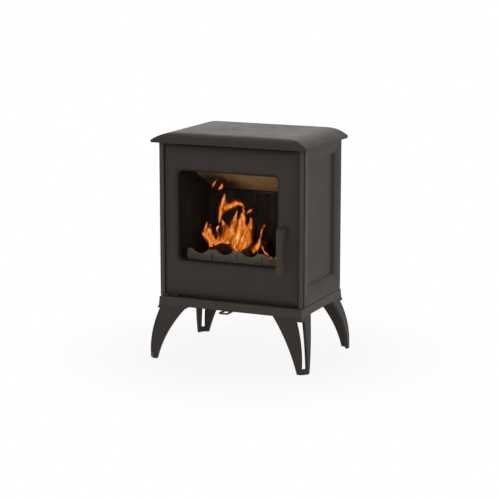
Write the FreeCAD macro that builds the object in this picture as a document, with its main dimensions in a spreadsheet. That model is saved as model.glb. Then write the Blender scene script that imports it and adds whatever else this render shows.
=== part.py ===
import FreeCAD, Part
import os
import Sketcher
from types import SimpleNamespace

# Cast iron wood stove on four splayed legs. Millimetres, +Z up, the door faces -Y.
# The origin is on the floor, under the middle of the body.

# Driving sizes, each written once and kept in the sheet.
SIZES = {
    # Body
    "body_width": 470,
    "body_depth": 300,
    "body_height": 472,
    # Base plate
    "base_height": 26,
    "base_ledge": 12.3,
    "base_draft": 1.6,
    "base_edge_radius": 2.5,
    "base_skirt": 9,
    "base_deck": 8,
    "base_boss_width": 58,
    "base_boss_depth": 44,
    # Legs
    "leg_height": 164,
    "leg_flare": 25,
    "leg_web": 9,
    "leg_foot_height": 16,
    "leg_flange": 10,
    "leg_front_top": 93,
    "leg_front_middle": 36,
    "leg_side_top": 73,
    "leg_side_middle": 25,
    "leg_foot_inset": 4,
    "leg_slot_top": 17,
    "leg_slot_middle": -5,
    "leg_slot_foot": -9,
    "leg_bridge": 13,
    "leg_bolt_inset_x": 32,
    "leg_bolt_inset_y": 28,
    "leg_bolt_radius": 4,
    "leg_bolt_reach": 16,
    # Top plate
    "lip_height": 7.5,
    "crown_height": 23,
    "crown_roll_side": 70,
    "crown_roll_front": 40,
    "crown_back_radius": 8,
    "brim_front": 24,
    "brim_side": 16.5,
    "brim_back": 10,
    "plate_wall": 13,
    "plate_rim_side": 30,
    "plate_rim_front": 44,
    "plate_rim_back": 22,
    # Blanking cover in the top plate
    "cover_radius": 63,
    "cover_back": 28,
    "cover_flange": 5,
    "cover_groove": 1.8,
    "cover_hole_radius": 55,
    "clamp_length": 150,
    "clamp_width": 20,
    "clamp_thickness": 9,
    "clamp_bolt_radius": 5,
    "clamp_bolt_reach": 6,
    # Side panels
    "side_wall": 9,
    "side_edge": 5,
    "side_corner_radius": 4,
    "side_field_depth": 11.3,
    "side_border": 4,
    "side_field_low": 61,
    "side_field_high": 43,
    "side_roll": 47,
    "side_pad_margin": 15,
    "side_pad_gap": 5,
    "side_pad_wall": 8,
    "side_joint_gap": 2.5,
    "side_joint_depth": 4,
    # Front frame
    "frame_flange": 8,
    "frame_seam": 1,
    "frame_wrap": 6,
    "frame_corner_radius": 2,
    "aperture_width": 380,
    "aperture_low": 42,
    "aperture_high": 34,
    # Rear panel and flue collar
    "rear_wall": 9,
    "rear_field_depth": 4,
    "rear_field_margin": 32,
    "rear_roll": 20,
    "flue_rim_gap": 3,
    "collar_radius": 62.5,
    "collar_wall": 5,
    "collar_reach": 50,
    "collar_flange_radius": 86,
    "collar_flange": 8,
    "collar_bolt_circle": 74,
    "collar_bolt_radius": 4,
    # Door
    "door_gap_side": 2,
    "door_gap_low": 8,
    "door_gap_high": 6,
    "door_half_width": 219.3,
    "door_recess": 4.4,
    "door_crown": 8,
    "door_roll": 45,
    "door_rim_thickness": 17,
    "door_rim": 24,
    "door_wall": 15,
    "seal_gap": 1.6,
    # Window
    "window_left": 186.5,
    "window_right": 165.5,
    "window_low": 101,
    "window_height": 302.5,
    "window_radius": 22,
    "reveal": 17.5,
    "glass_overlap": 12,
    "glass_thickness": 4,
    "gasket_thickness": 2.2,
    "gasket_width": 10,
    "clip_width": 22,
    "clip_thickness": 2,
    "clip_foot": 14,
    "clip_grip": 9,
    "clip_spacing": 210,
    # Door rope
    "rope_inset": 7.5,
    "rope_groove": 9,
    "rope_depth": 6,
    "rope_clearance": 0.2,
    "rope_radius": 12,
    # Hinge
    "hinge_inset": 5.3,
    "hinge_forward": 1.4,
    "hinge_pin_radius": 3.5,
    "hinge_pin_seat": 12,
    "hinge_eye_radius": 6.5,
    "hinge_arm_length": 38,
    "hinge_washer": 1.7,
    "hinge_screw_radius": 2.5,
    "hinge_screw_reach": 6.5,
    # Handle and latch
    "handle_x": 176,
    "handle_top": 433,
    "handle_length": 139,
    "handle_width": 17,
    "handle_thickness": 15,
    "handle_reach": 46.4,
    "handle_stem": 30,
    "handle_gusset": 15,
    "handle_edge_radius": 3,
    "spindle_radius": 6,
    "spindle_grip": 20,
    "bush_radius": 9,
    "bush_flange_radius": 14,
    "bush_flange": 4,
    "bush_proud": 0.8,
    "tongue_length": 27,
    "tongue_height": 14,
    "tongue_thickness": 6,
    "tongue_heel": 12,
    "keeper_thickness": 3,
    "keeper_width": 16,
    "keeper_height": 36,
    "collar_ring_radius": 10,
    "spindle_nut_thickness": 7,
    "spindle_end": 2,
    # Linings and fire bed
    "lining_thickness": 11,
    "lining_gap": 8.7,
    "lining_front_gap": 19,
    "lining_height": 410,
    "back_lining_thickness": 12,
    "back_lining_height": 290,
    "back_rib_depth": 5,
    "back_rib_width": 9,
    "back_rib_pitch": 40,
    "rear_space": 4,
    "hearth_height": 100,
    "hearth_thickness": 12,
    "hearth_ledge": 12,
    "hearth_ledge_height": 10,
    "hearth_gap": 0.5,
    "grate_width": 222,
    "grate_depth": 132,
    "grate_thickness": 8,
    "grate_seat": 6,
    "grate_clearance": 0.5,
    "grate_corner_radius": 6,
    "grate_slot_width": 9,
    "grate_slot_length": 104,
    "grate_slot_pitch": 20,
    # Log retainer
    "retainer_pitch": 81.5,
    "retainer_end": 1.5,
    "retainer_corner": 6,
    "retainer_height": 45,
    "retainer_dip": 13.5,
    "retainer_dip_width": 54,
    "retainer_thickness": 7,
    "retainer_gap": 13,
    "retainer_slit_width": 3,
    "retainer_slit_low": 12,
    "retainer_slit_high": 5,
    # Baffle
    "baffle_front_gap": 63,
    "baffle_rear_gap": 2,
    "baffle_front_drop": 17,
    "baffle_rear_rise": 8,
    "baffle_thickness": 28,
    "baffle_rail": 10,
    # Ash pan
    "pan_width": 250,
    "pan_front_gap": 19,
    "pan_rear_gap": 30,
    "pan_height": 62,
    "pan_wall": 2,
    "pan_runner_height": 10,
    "pan_runner_width": 12,
    "pan_runner_inset": 8,
    "pan_grip_width": 80,
    "pan_grip_height": 14,
    "pan_grip_low": 30,
    "pan_grip_reach": 12,
    "pan_grip_bar": 4,
    # Air slide
    "air_offset": -12.5,
    "air_plate_width": 140,
    "air_plate_inset": 40.3,
    "air_plate_length": 202,
    "air_plate_thickness": 3,
    "air_slot_length": 100,
    "air_slot_width": 16,
    "air_slot_pitch": 44,
    "air_slot_start": 62,
    "air_travel": 22,
    "air_tab_width": 31,
    "air_tab_ahead": 16,
    "air_tab_below": 3,
    "air_tab_thickness": 4,
    "air_tab_rim": 6,
    "air_tab_loop": 43,
    "air_tab_radius": 5,
    "air_guide_width": 12,
    "air_guide_lip": 10,
    "air_guide_lip_thickness": 4,
    # Tie rods
    "tie_radius": 3,
    "tie_inset_x": 23.8,
    "tie_inset_y": 41,
    # Fasteners
    "bolt_head": 7,
    "bolt_head_radius": 7.5,
    "small_screw_radius": 2,
    "small_screw_head_radius": 4,
    "small_screw_head": 2.2,
    "small_screw_reach": 5,
    # Clearances
    "fit_clearance": 0.05,
    "seat_clearance": 0.02,
    "running_gap": 0.3,
    "hole_clearance": 0.3,
    "overrun": 1,
}

# Points of a quarter ellipse that starts steep and ends flat: shares of its run and of its rise.
ROLL_RUN_SHARES = (0.076, 0.293, 0.617)
ROLL_RISE_SHARES = (0.383, 0.707, 0.924)
# Middle of the low arc at the door's edges, as shares of its run and of its fall.
DOOR_ARC_RUN_SHARE = 0.51
DOOR_ARC_FALL_SHARE = 0.253
# Middle of a quarter circle, as a share of its radius.
ROUND_SHARE = 0.7071
# Rise of the top plate's shoulders at half their run, as shares of the crown's height.
CROWN_SIDE_SHARE = 0.77
CROWN_FRONT_SHARE = 0.8
# Outward lean of a leg at half its height, as a share of its flare.
LEG_LEAN_SHARE = 0.8
# Rounded reveal of the window: shares of its depth and of its width.
REVEAL_DEPTH_SHARES = (0.12, 0.38, 1)
REVEAL_WIDTH_SHARES = (0.475, 0.785, 1)

RETAINER_DIPS = 4
BACK_RIBS = 9
GRATE_SLOTS = 10
AIR_SLOTS = 3
COLLAR_BOLTS = 4
FULL_TURN_DEGREES = 360
# Sag of the curve under the handle stem, as a share of the gusset.
HANDLE_SAG_SHARE = 0.2

doc = FreeCAD.newDocument("WoodStove")
sheet = doc.addObject("Spreadsheet::Sheet", "Sizes")
for row, (size_name, size_value) in enumerate(SIZES.items(), start=1):
    sheet.set(f"A{row}", size_name)
    sheet.set(f"B{row}", str(size_value))
    sheet.setAlias(f"B{row}", size_name)
doc.recompute()


class Size:
    """A length or a sum of lengths, held as a number and as the sheet's expression for it."""

    def __init__(self, text, value):
        self.text = text
        self.value = value

    def __add__(self, other):
        return Size(f"({self.text} + {text_of(other)})", self.value + value_of(other))

    def __sub__(self, other):
        return Size(f"({self.text} - {text_of(other)})", self.value - value_of(other))

    def __mul__(self, factor):
        return Size(f"({self.text} * {text_of(factor)})", self.value * value_of(factor))

    def __truediv__(self, factor):
        return Size(f"({self.text} / {text_of(factor)})", self.value / value_of(factor))

    def __neg__(self):
        return Size(f"(0 - {self.text})", -self.value)


def text_of(size):
    return size.text if isinstance(size, Size) else str(size)


def value_of(size):
    return size.value if isinstance(size, Size) else size


s = SimpleNamespace(**{name: Size(f"Sizes.{name}", value) for name, value in SIZES.items()})
nodes = []


def bind(thing, prop, size):
    """Tie one property of an object to the sheet."""
    thing.setExpression(prop, text_of(size))


# Outlines

PLANE_TURNS = {
    "XY": FreeCAD.Rotation(),
    "XZ": FreeCAD.Rotation(FreeCAD.Vector(1, 0, 0), 90),
    "YZ": FreeCAD.Rotation(FreeCAD.Vector(1, 1, 1), 120),
}
PLANE_NORMALS = {"XY": ("z", (0, 0, 1)), "XZ": ("y", (0, 1, 0)), "YZ": ("x", (1, 0, 0))}
AXIS_TURNS = {
    "X": FreeCAD.Rotation(FreeCAD.Vector(0, 1, 0), 90),
    "Y": FreeCAD.Rotation(FreeCAD.Vector(1, 0, 0), -90),
    "Z": FreeCAD.Rotation(),
}
START_INDEX = 1
END_INDEX = 2
ORIGIN_INDEX = -1
X_AXIS_INDEX = -1
Y_AXIS_INDEX = -2


def vector(x, y):
    return FreeCAD.Vector(value_of(x), value_of(y), 0)


def fix_point(sketch, geometry, position, x, y):
    """Tie a sketch point to its place; a zero place is a point on the axis."""
    for kind, size, axis in (("DistanceX", x, Y_AXIS_INDEX), ("DistanceY", y, X_AXIS_INDEX)):
        if isinstance(size, Size):
            rule = Sketcher.Constraint(kind, ORIGIN_INDEX, START_INDEX, geometry, position, size.value)
            sketch.setExpression(f"Constraints[{sketch.addConstraint(rule)}]", size.text)
        else:
            sketch.addConstraint(Sketcher.Constraint("PointOnObject", geometry, position, axis))


def draw(sketch, steps):
    """Draw a closed outline. A step (x, y) is a straight run to that point,
    and (via_x, via_y, x, y) an arc through the first point to the second."""
    corners = [step[-2:] for step in steps]
    runs = []
    for index, corner in enumerate(corners):
        following = (index + 1) % len(steps)
        target = corners[following]
        a = vector(*corner)
        b = vector(*target)
        if len(steps[following]) == 2:
            geometry = sketch.addGeometry(Part.LineSegment(a, b), False)
            runs.append((geometry, START_INDEX, END_INDEX))
            continue
        via = steps[following][:2]
        middle = vector(*via)
        turns_left = (middle - a).cross(b - a).z > 0
        arc = Part.Arc(a, middle, b) if turns_left else Part.Arc(b, middle, a)
        geometry = sketch.addGeometry(arc, False)
        ends = (START_INDEX, END_INDEX) if turns_left else (END_INDEX, START_INDEX)
        runs.append((geometry, *ends))
        mark = sketch.addGeometry(Part.Point(middle), True)
        fix_point(sketch, mark, START_INDEX, *via)
        sketch.addConstraint(Sketcher.Constraint("PointOnObject", mark, START_INDEX, geometry))
    for index, (geometry, _, last) in enumerate(runs):
        neighbour, first, _ = runs[(index + 1) % len(runs)]
        sketch.addConstraint(Sketcher.Constraint("Coincident", geometry, last, neighbour, first))
    for corner, (geometry, first, _) in zip(corners, runs):
        fix_point(sketch, geometry, first, *corner)


def round_corner(start, end, x_first):
    """A quarter circle from start to end, as one step, on the side of the sharp corner."""
    (ax, ay), (bx, by) = start, end
    if x_first:
        return (ax + (bx - ax) * ROUND_SHARE, by + (ay - by) * ROUND_SHARE, bx, by)
    return (bx + (ax - bx) * ROUND_SHARE, ay + (by - ay) * ROUND_SHARE, bx, by)


def rounded_rectangle(x0, y0, x1, y1, radius):
    return [
        (x1 - radius, y0),
        round_corner((x1 - radius, y0), (x1, y0 + radius), True),
        (x1, y1 - radius),
        round_corner((x1, y1 - radius), (x1 - radius, y1), False),
        (x0 + radius, y1),
        round_corner((x0 + radius, y1), (x0, y1 - radius), True),
        (x0, y0 + radius),
        round_corner((x0, y0 + radius), (x0 + radius, y0), False),
    ]


def roll(start, end, flat_axis, steep_first):
    """Two arcs of a quarter ellipse from start to end. The flat end runs along flat_axis (0 or 1)."""
    run = ROLL_RUN_SHARES
    rise = ROLL_RISE_SHARES
    if not steep_first:
        run = tuple(1 - share for share in reversed(run))
        rise = tuple(1 - share for share in reversed(rise))
    shares = (run, rise) if flat_axis == 0 else (rise, run)
    x0, y0 = start
    x1, y1 = end
    places = [(x0 + (x1 - x0) * a, y0 + (y1 - y0) * b) for a, b in zip(*shares)]
    return [(*places[0], *places[1]), (*places[2], x1, y1)]


# Solids

def place_sketch(name, plane, start):
    sketch = doc.addObject("Sketcher::SketchObject", name)
    sketch.Placement = FreeCAD.Placement(FreeCAD.Vector(), PLANE_TURNS[plane])
    bind(sketch, f"Placement.Base.{PLANE_NORMALS[plane][0]}", start)
    return sketch


def prism(name, plane, outlines, start, end):
    """A straight solid over one or more closed outlines, from start to end across the plane."""
    sketch = place_sketch(f"{name}_outline", plane, start)
    for outline in outlines:
        draw(sketch, outline)
    solid = doc.addObject("Part::Extrusion", name)
    solid.Base = sketch
    solid.DirMode = "Custom"
    solid.Dir = FreeCAD.Vector(*PLANE_NORMALS[plane][1])
    bind(solid, "LengthFwd", end - start)
    solid.Solid = True
    return solid


def box(name, x0, x1, y0, y1, z0, z1):
    solid = doc.addObject("Part::Box", name)
    for prop, low, high in (("Length", x0, x1), ("Width", y0, y1), ("Height", z0, z1)):
        bind(solid, prop, high - low)
    for axis, low in (("x", x0), ("y", y0), ("z", z0)):
        bind(solid, f"Placement.Base.{axis}", low)
    return solid


def rod(name, axis, x, y, z, radius, length):
    """A cylinder that starts at a point and runs along an axis."""
    solid = doc.addObject("Part::Cylinder", name)
    solid.Placement = FreeCAD.Placement(FreeCAD.Vector(), AXIS_TURNS[axis])
    bind(solid, "Radius", radius)
    bind(solid, "Height", length)
    for letter, place in (("x", x), ("y", y), ("z", z)):
        bind(solid, f"Placement.Base.{letter}", place)
    return solid


def hexagon(name, axis, x, y, z, radius, length):
    solid = doc.addObject("Part::Prism", name)
    solid.Placement = FreeCAD.Placement(FreeCAD.Vector(), AXIS_TURNS[axis])
    solid.Polygon = 6
    bind(solid, "Circumradius", radius)
    bind(solid, "Height", length)
    for letter, place in (("x", x), ("y", y), ("z", z)):
        bind(solid, f"Placement.Base.{letter}", place)
    return solid


def fuse(name, pieces):
    solid = doc.addObject("Part::MultiFuse", name)
    solid.Shapes = pieces
    return solid


def common(name, first, second):
    solid = doc.addObject("Part::Common", name)
    solid.Base = first
    solid.Tool = second
    return solid


def cut(name, base, tools):
    solid = doc.addObject("Part::Cut", name)
    solid.Base = base
    solid.Tool = tools[0] if len(tools) == 1 else fuse(f"{name}_cuts", tools)
    return solid


def group(name, pieces):
    solids = doc.addObject("Part::Compound", name)
    solids.Links = pieces
    return solids


def mirror(name, source, normal):
    solid = doc.addObject("Part::Mirroring", name)
    solid.Source = source
    solid.Normal = FreeCAD.Vector(*normal)
    return solid


def fillet(name, base, radius, wanted):
    """Round the edges that a test picks."""
    doc.recompute()
    solid = doc.addObject("Part::Fillet", name)
    solid.Base = base
    picked = [index for index, edge in enumerate(base.Shape.Edges, start=1) if wanted(edge)]
    solid.Edges = [(index, radius.value, radius.value) for index in picked]
    return solid


def node(name, thing):
    """Hand in a finished piece under its own label."""
    thing.Label = name
    nodes.append(thing)


LEFT_RIGHT = (("left", -1), ("right", 1))
MIRROR_X = (1, 0, 0)
MIRROR_Y = (0, 1, 0)

# Levels and faces that the pieces share
half_width = s.body_width / 2
front = -(s.body_depth / 2)
back = s.body_depth / 2
base_half_depth = s.body_depth / 2 + s.base_ledge
base_top = s.leg_height + s.base_height
deck_bottom = base_top - s.base_deck
plate_bottom = base_top + s.body_height
plate_top = plate_bottom + s.lip_height + s.crown_height
plate_inside = plate_top - s.plate_wall
tie_x = half_width - s.tie_inset_x
tie_y = s.body_depth / 2 - s.tie_inset_y
leg_bolt_x = half_width - s.leg_bolt_inset_x
leg_bolt_y = base_half_depth - s.leg_bolt_inset_y

door_left = -s.door_half_width
door_right = s.door_half_width
door_bottom = base_top + s.door_gap_low
door_top = plate_bottom - s.door_gap_high
door_edge = front + s.door_recess
door_field = door_edge - s.door_crown
door_back = door_edge + s.door_rim_thickness
door_inside = door_field + s.door_wall
seal_face = door_back + s.seal_gap
frame_back = seal_face + s.frame_flange
wrap_back = front + s.frame_wrap

hinge_x = door_left + s.hinge_inset
hinge_y = door_edge - s.hinge_forward
hinge_hole_radius = s.hinge_pin_radius + s.fit_clearance

handle_front = door_field - s.handle_reach
handle_axis = s.handle_top - s.handle_stem / 2
tongue_front = frame_back + s.keeper_thickness + s.running_gap
tongue_back = tongue_front + s.tongue_thickness

lining_back = back - s.rear_wall - s.rear_space - s.back_lining_thickness - s.back_rib_depth
hearth_top = base_top + s.hearth_height
hearth_bottom = hearth_top - s.hearth_thickness
cover_seat = plate_top - s.cover_flange
side_pad_inside = half_width - s.side_field_depth - s.side_pad_wall
lining_half_width = side_pad_inside - s.lining_gap - s.lining_thickness
lining_front = frame_back + s.lining_front_gap
retainer_front = frame_back + s.retainer_gap
pan_front = frame_back + s.pan_front_gap
pan_back = lining_back - s.pan_rear_gap
baffle_front = frame_back + s.baffle_front_gap
baffle_back = lining_back - s.baffle_rear_gap
air_front = s.air_plate_inset - base_half_depth
air_back = air_front + s.air_plate_length
air_slot_first = air_front + s.air_slot_start
flue_height = plate_bottom - s.rear_field_margin - s.collar_flange_radius - s.flue_rim_gap


# Base plate

def plinth_profile(half_span):
    low = s.leg_height
    inner = half_span - s.base_draft
    return [
        (-half_span, low),
        (half_span, low),
        (inner, base_top - s.base_edge_radius),
        round_corner((inner, base_top - s.base_edge_radius), (inner - s.base_edge_radius, base_top), False),
        (-inner + s.base_edge_radius, base_top),
        round_corner(
            (-inner + s.base_edge_radius, base_top), (-inner, base_top - s.base_edge_radius), True,
        ),
    ]


def make_base_plate():
    reach_x = half_width + s.overrun
    reach_y = base_half_depth + s.overrun
    across = prism("base_across", "XZ", [plinth_profile(half_width)], -reach_y, reach_y)
    along = prism("base_along", "YZ", [plinth_profile(base_half_depth)], -reach_x, reach_x)
    inner_x = half_width - s.base_draft - s.base_skirt
    inner_y = base_half_depth - s.base_draft - s.base_skirt
    boss_x = half_width - s.base_boss_width
    boss_y = base_half_depth - s.base_boss_depth
    hollow = prism("base_hollow", "XY", [[
        (-boss_x, -inner_y), (boss_x, -inner_y), (boss_x, -boss_y), (inner_x, -boss_y),
        (inner_x, boss_y), (boss_x, boss_y), (boss_x, inner_y), (-boss_x, inner_y),
        (-boss_x, boss_y), (-inner_x, boss_y), (-inner_x, -boss_y), (-boss_x, -boss_y),
    ]], s.leg_height - s.overrun, deck_bottom)
    cuts = [hollow]
    for index in range(AIR_SLOTS):
        middle = air_slot_first + s.air_slot_pitch * index
        cuts.append(box(
            f"base_air_slot_{index + 1}",
            s.air_offset - s.air_slot_length / 2, s.air_offset + s.air_slot_length / 2,
            middle - s.air_slot_width / 2, middle + s.air_slot_width / 2,
            deck_bottom - s.overrun, base_top + s.overrun,
        ))
    for side, sign_x in LEFT_RIGHT:
        for end, sign_y in (("front", -1), ("rear", 1)):
            cuts.append(rod(
                f"base_tie_hole_{end}_{side}", "Z", tie_x * sign_x, tie_y * sign_y, deck_bottom - s.overrun,
                s.tie_radius + s.hole_clearance, s.base_deck + s.overrun * 2,
            ))
            cuts.append(rod(
                f"base_bolt_hole_{end}_{side}", "Z", leg_bolt_x * sign_x, leg_bolt_y * sign_y,
                s.leg_height - s.overrun, s.leg_bolt_radius + s.hole_clearance,
                s.leg_bolt_reach + s.overrun * 2,
            ))
    cuts.append(rod(
        "base_hinge_hole", "Z", hinge_x, hinge_y, base_top - s.hinge_pin_seat,
        s.hinge_pin_radius + s.seat_clearance, s.hinge_pin_seat + s.overrun,
    ))
    node("base_plate", cut("base_plate", common("base_block", across, along), cuts))


# Legs

def leg_wall(corner, sign, inner, shift, low, high):
    """Region inside a leg's curved outer face, moved in by shift, from one level to another."""
    top = corner - shift
    return [
        (inner * sign, low),
        ((corner + s.leg_flare - shift) * sign, low),
        (
            (corner + s.leg_flare * LEG_LEAN_SHARE - shift) * sign, s.leg_height / 2,
            top * sign, high,
        ),
        (inner * sign, high),
    ]


def make_legs():
    corner_x = half_width
    corner_y = base_half_depth
    inner_x = corner_x - s.leg_front_top
    inner_y = corner_y - s.leg_side_top
    reach_x = corner_x + s.leg_flare + s.overrun
    reach_y = corner_y + s.leg_flare + s.overrun
    block = common(
        "leg_block",
        prism(
            "leg_block_x", "XZ", [leg_wall(corner_x, 1, inner_x, 0, 0, s.leg_height)],
            -reach_y, -inner_y,
        ),
        prism(
            "leg_block_y", "YZ", [leg_wall(corner_y, -1, inner_y, 0, 0, s.leg_height)],
            inner_x, reach_x,
        ),
    )
    core_slab = box(
        "leg_core_slab", inner_x - s.overrun, reach_x, -reach_y, -inner_y + s.overrun,
        -s.overrun, s.leg_height - s.leg_flange,
    )
    core = common("leg_core", common(
        "leg_core_corner",
        prism(
            "leg_core_x", "XZ",
            [leg_wall(corner_x, 1, inner_x - s.overrun, s.leg_web, 0, s.leg_height)],
            -reach_y, s.overrun - inner_y,
        ),
        prism(
            "leg_core_y", "YZ",
            [leg_wall(corner_y, -1, inner_y - s.overrun, s.leg_web, 0, s.leg_height)],
            inner_x - s.overrun, reach_x,
        ),
    ), core_slab)

    def inner_edge(corner, sign, inner, middle):
        """Region past the curved inner edge of a web."""
        return [
            ((inner - s.overrun) * sign, -s.overrun),
            ((corner - s.leg_foot_inset) * sign, -s.overrun),
            ((corner - s.leg_foot_inset) * sign, 0),
            ((corner - middle) * sign, s.leg_height / 2, inner * sign, s.leg_height),
            ((inner - s.overrun) * sign, s.leg_height),
        ]

    front_edge = prism(
        "leg_front_edge", "XZ", [inner_edge(corner_x, 1, inner_x, s.leg_front_middle)],
        -reach_y, s.overrun - inner_y,
    )
    side_edge = prism(
        "leg_side_edge", "YZ", [inner_edge(corner_y, -1, inner_y, s.leg_side_middle)],
        inner_x - s.overrun, reach_x,
    )
    slot_top = s.leg_height - s.leg_flange

    def slot_edge(corner, sign, reach):
        """Region between the outer corner and the edge of a web beside the slot."""
        return [
            (reach * sign, -s.overrun),
            (reach * sign, slot_top),
            ((corner - s.leg_slot_top) * sign, slot_top),
            (
                (corner - s.leg_slot_middle) * sign, s.leg_height / 2,
                (corner - s.leg_slot_foot) * sign, s.leg_foot_height,
            ),
            ((corner - s.leg_slot_foot) * sign, -s.overrun),
        ]

    slot = common(
        "leg_slot",
        prism("leg_slot_x", "XZ", [slot_edge(corner_x, 1, reach_x)], -reach_y, -inner_y),
        prism("leg_slot_y", "YZ", [slot_edge(corner_y, -1, reach_y)], inner_x, reach_x),
    )
    hole = rod(
        "leg_bolt_hole", "Z", leg_bolt_x, -leg_bolt_y, slot_top - s.overrun,
        s.leg_bolt_radius + s.hole_clearance, s.leg_flange + s.overrun * 2,
    )
    # The bridge joins the two webs at the foot, set back across the corner
    foot_x = corner_x + s.leg_flare
    foot_y = corner_y + s.leg_flare
    slot_x = corner_x - s.leg_slot_foot
    slot_y = corner_y - s.leg_slot_foot
    bridge = common("leg_bridge", block, prism("leg_bridge_strip", "XY", [[
        (slot_x - s.leg_bridge, -foot_y),
        (slot_x, -foot_y),
        (foot_x, -slot_y),
        (foot_x, s.leg_bridge - slot_y),
    ]], 0, s.leg_foot_height))
    webs = cut("leg_webs", block, [core, slot])
    front_right = cut("leg_front_right", fuse("leg_body", [webs, bridge]), [front_edge, side_edge, hole])
    front_left = mirror("leg_front_left", front_right, MIRROR_X)
    node("leg_front_right", front_right)
    node("leg_front_left", front_left)
    node("leg_rear_right", mirror("leg_rear_right", front_right, MIRROR_Y))
    node("leg_rear_left", mirror("leg_rear_left", front_left, MIRROR_Y))

    bolts = []
    for side, sign_x in LEFT_RIGHT:
        for end, sign_y in (("front", -1), ("rear", 1)):
            place = (leg_bolt_x * sign_x, leg_bolt_y * sign_y)
            name = f"leg_bolt_{end}_{side}"
            bolts.append(fuse(name, [
                hexagon(
                    f"{name}_head", "Z", *place, slot_top - s.bolt_head, s.bolt_head_radius, s.bolt_head,
                ),
                rod(
                    f"{name}_shank", "Z", *place, slot_top, s.leg_bolt_radius,
                    s.leg_flange + s.leg_bolt_reach,
                ),
            ]))
    node("leg_bolts", group("leg_bolts", bolts))


# Top plate

lip_top = plate_bottom + s.lip_height


def shoulder(edge, inner, rise_share, outwards):
    """One arc of the top plate's shoulder, between its lip and the flat crown."""
    middle = ((edge + inner) / 2, lip_top + s.crown_height * rise_share)
    return (*middle, edge, lip_top) if outwards else (*middle, inner, plate_top)


def across_profile(edge):
    """Section from side to side: an upright lip and a shallow shoulder on both sides."""
    inner = edge - s.crown_roll_side
    return [
        (-edge, plate_bottom),
        (edge, plate_bottom),
        (edge, lip_top),
        shoulder(edge, inner, CROWN_SIDE_SHARE, False),
        (-inner, plate_top),
        shoulder(-edge, -inner, CROWN_SIDE_SHARE, True),
    ]


def along_profile(edge_front, edge_back):
    """Section from front to back: a steeper front shoulder and a square back with a rounded edge."""
    inner = edge_front + s.crown_roll_front
    radius = s.crown_back_radius
    return [
        (edge_front, plate_bottom),
        (edge_back, plate_bottom),
        (edge_back, plate_top - radius),
        round_corner((edge_back, plate_top - radius), (edge_back - radius, plate_top), False),
        (inner, plate_top),
        shoulder(edge_front, inner, CROWN_FRONT_SHARE, True),
    ]


def make_top_plate():
    edge_x = half_width + s.brim_side
    edge_front = front - s.brim_front
    edge_back = back + s.brim_back
    block = common(
        "top_block",
        prism(
            "top_across", "XZ", [across_profile(edge_x)], edge_front - s.overrun, edge_back + s.overrun,
        ),
        prism(
            "top_along", "YZ", [along_profile(edge_front, edge_back)],
            -edge_x - s.overrun, edge_x + s.overrun,
        ),
    )
    hollow = box(
        "top_hollow", s.plate_rim_side - edge_x, edge_x - s.plate_rim_side,
        edge_front + s.plate_rim_front, edge_back - s.plate_rim_back,
        plate_bottom - s.overrun, plate_inside,
    )
    seat = rod(
        "top_cover_seat", "Z", 0, s.cover_back, cover_seat,
        s.cover_radius + s.cover_groove, s.cover_flange + s.overrun,
    )
    hole = rod(
        "top_flue_hole", "Z", 0, s.cover_back, plate_inside - s.overrun,
        s.cover_hole_radius, s.plate_wall + s.overrun * 2,
    )
    hinge_hole = rod(
        "top_hinge_hole", "Z", hinge_x, hinge_y, plate_bottom - s.overrun,
        s.hinge_pin_radius + s.seat_clearance, s.hinge_pin_seat + s.overrun,
    )
    node("top_plate", cut("top_plate", block, [hollow, seat, hole, hinge_hole]))


def make_flue_cover():
    cover = fuse("cover_disc", [
        rod("cover_flange_disc", "Z", 0, s.cover_back, cover_seat, s.cover_radius, s.cover_flange),
        rod(
            "cover_spigot", "Z", 0, s.cover_back, plate_inside,
            s.cover_hole_radius - s.cover_groove, s.plate_wall - s.cover_flange,
        ),
    ])
    thread = rod(
        "cover_thread", "Z", 0, s.cover_back, plate_inside - s.overrun,
        s.clamp_bolt_radius + s.seat_clearance, s.clamp_bolt_reach + s.overrun * 2,
    )
    node("flue_cover", cut("flue_cover", cover, [thread]))
    bar = box(
        "clamp_bar", -s.clamp_length / 2, s.clamp_length / 2,
        s.cover_back - s.clamp_width / 2, s.cover_back + s.clamp_width / 2,
        plate_inside - s.clamp_thickness, plate_inside,
    )
    bar_hole = rod(
        "clamp_hole", "Z", 0, s.cover_back, plate_inside - s.clamp_thickness - s.overrun,
        s.clamp_bolt_radius + s.hole_clearance, s.clamp_thickness + s.overrun * 2,
    )
    node("flue_cover_clamp", cut("flue_cover_clamp", bar, [bar_hole]))
    head_top = plate_inside - s.clamp_thickness
    node("flue_cover_bolt", fuse("flue_cover_bolt", [
        hexagon(
            "clamp_bolt_head", "Z", 0, s.cover_back, head_top - s.bolt_head, s.bolt_head_radius, s.bolt_head,
        ),
        rod(
            "clamp_bolt_shank", "Z", 0, s.cover_back, head_top,
            s.clamp_bolt_radius, s.clamp_thickness + s.clamp_bolt_reach,
        ),
    ]))


# Side panels

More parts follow.
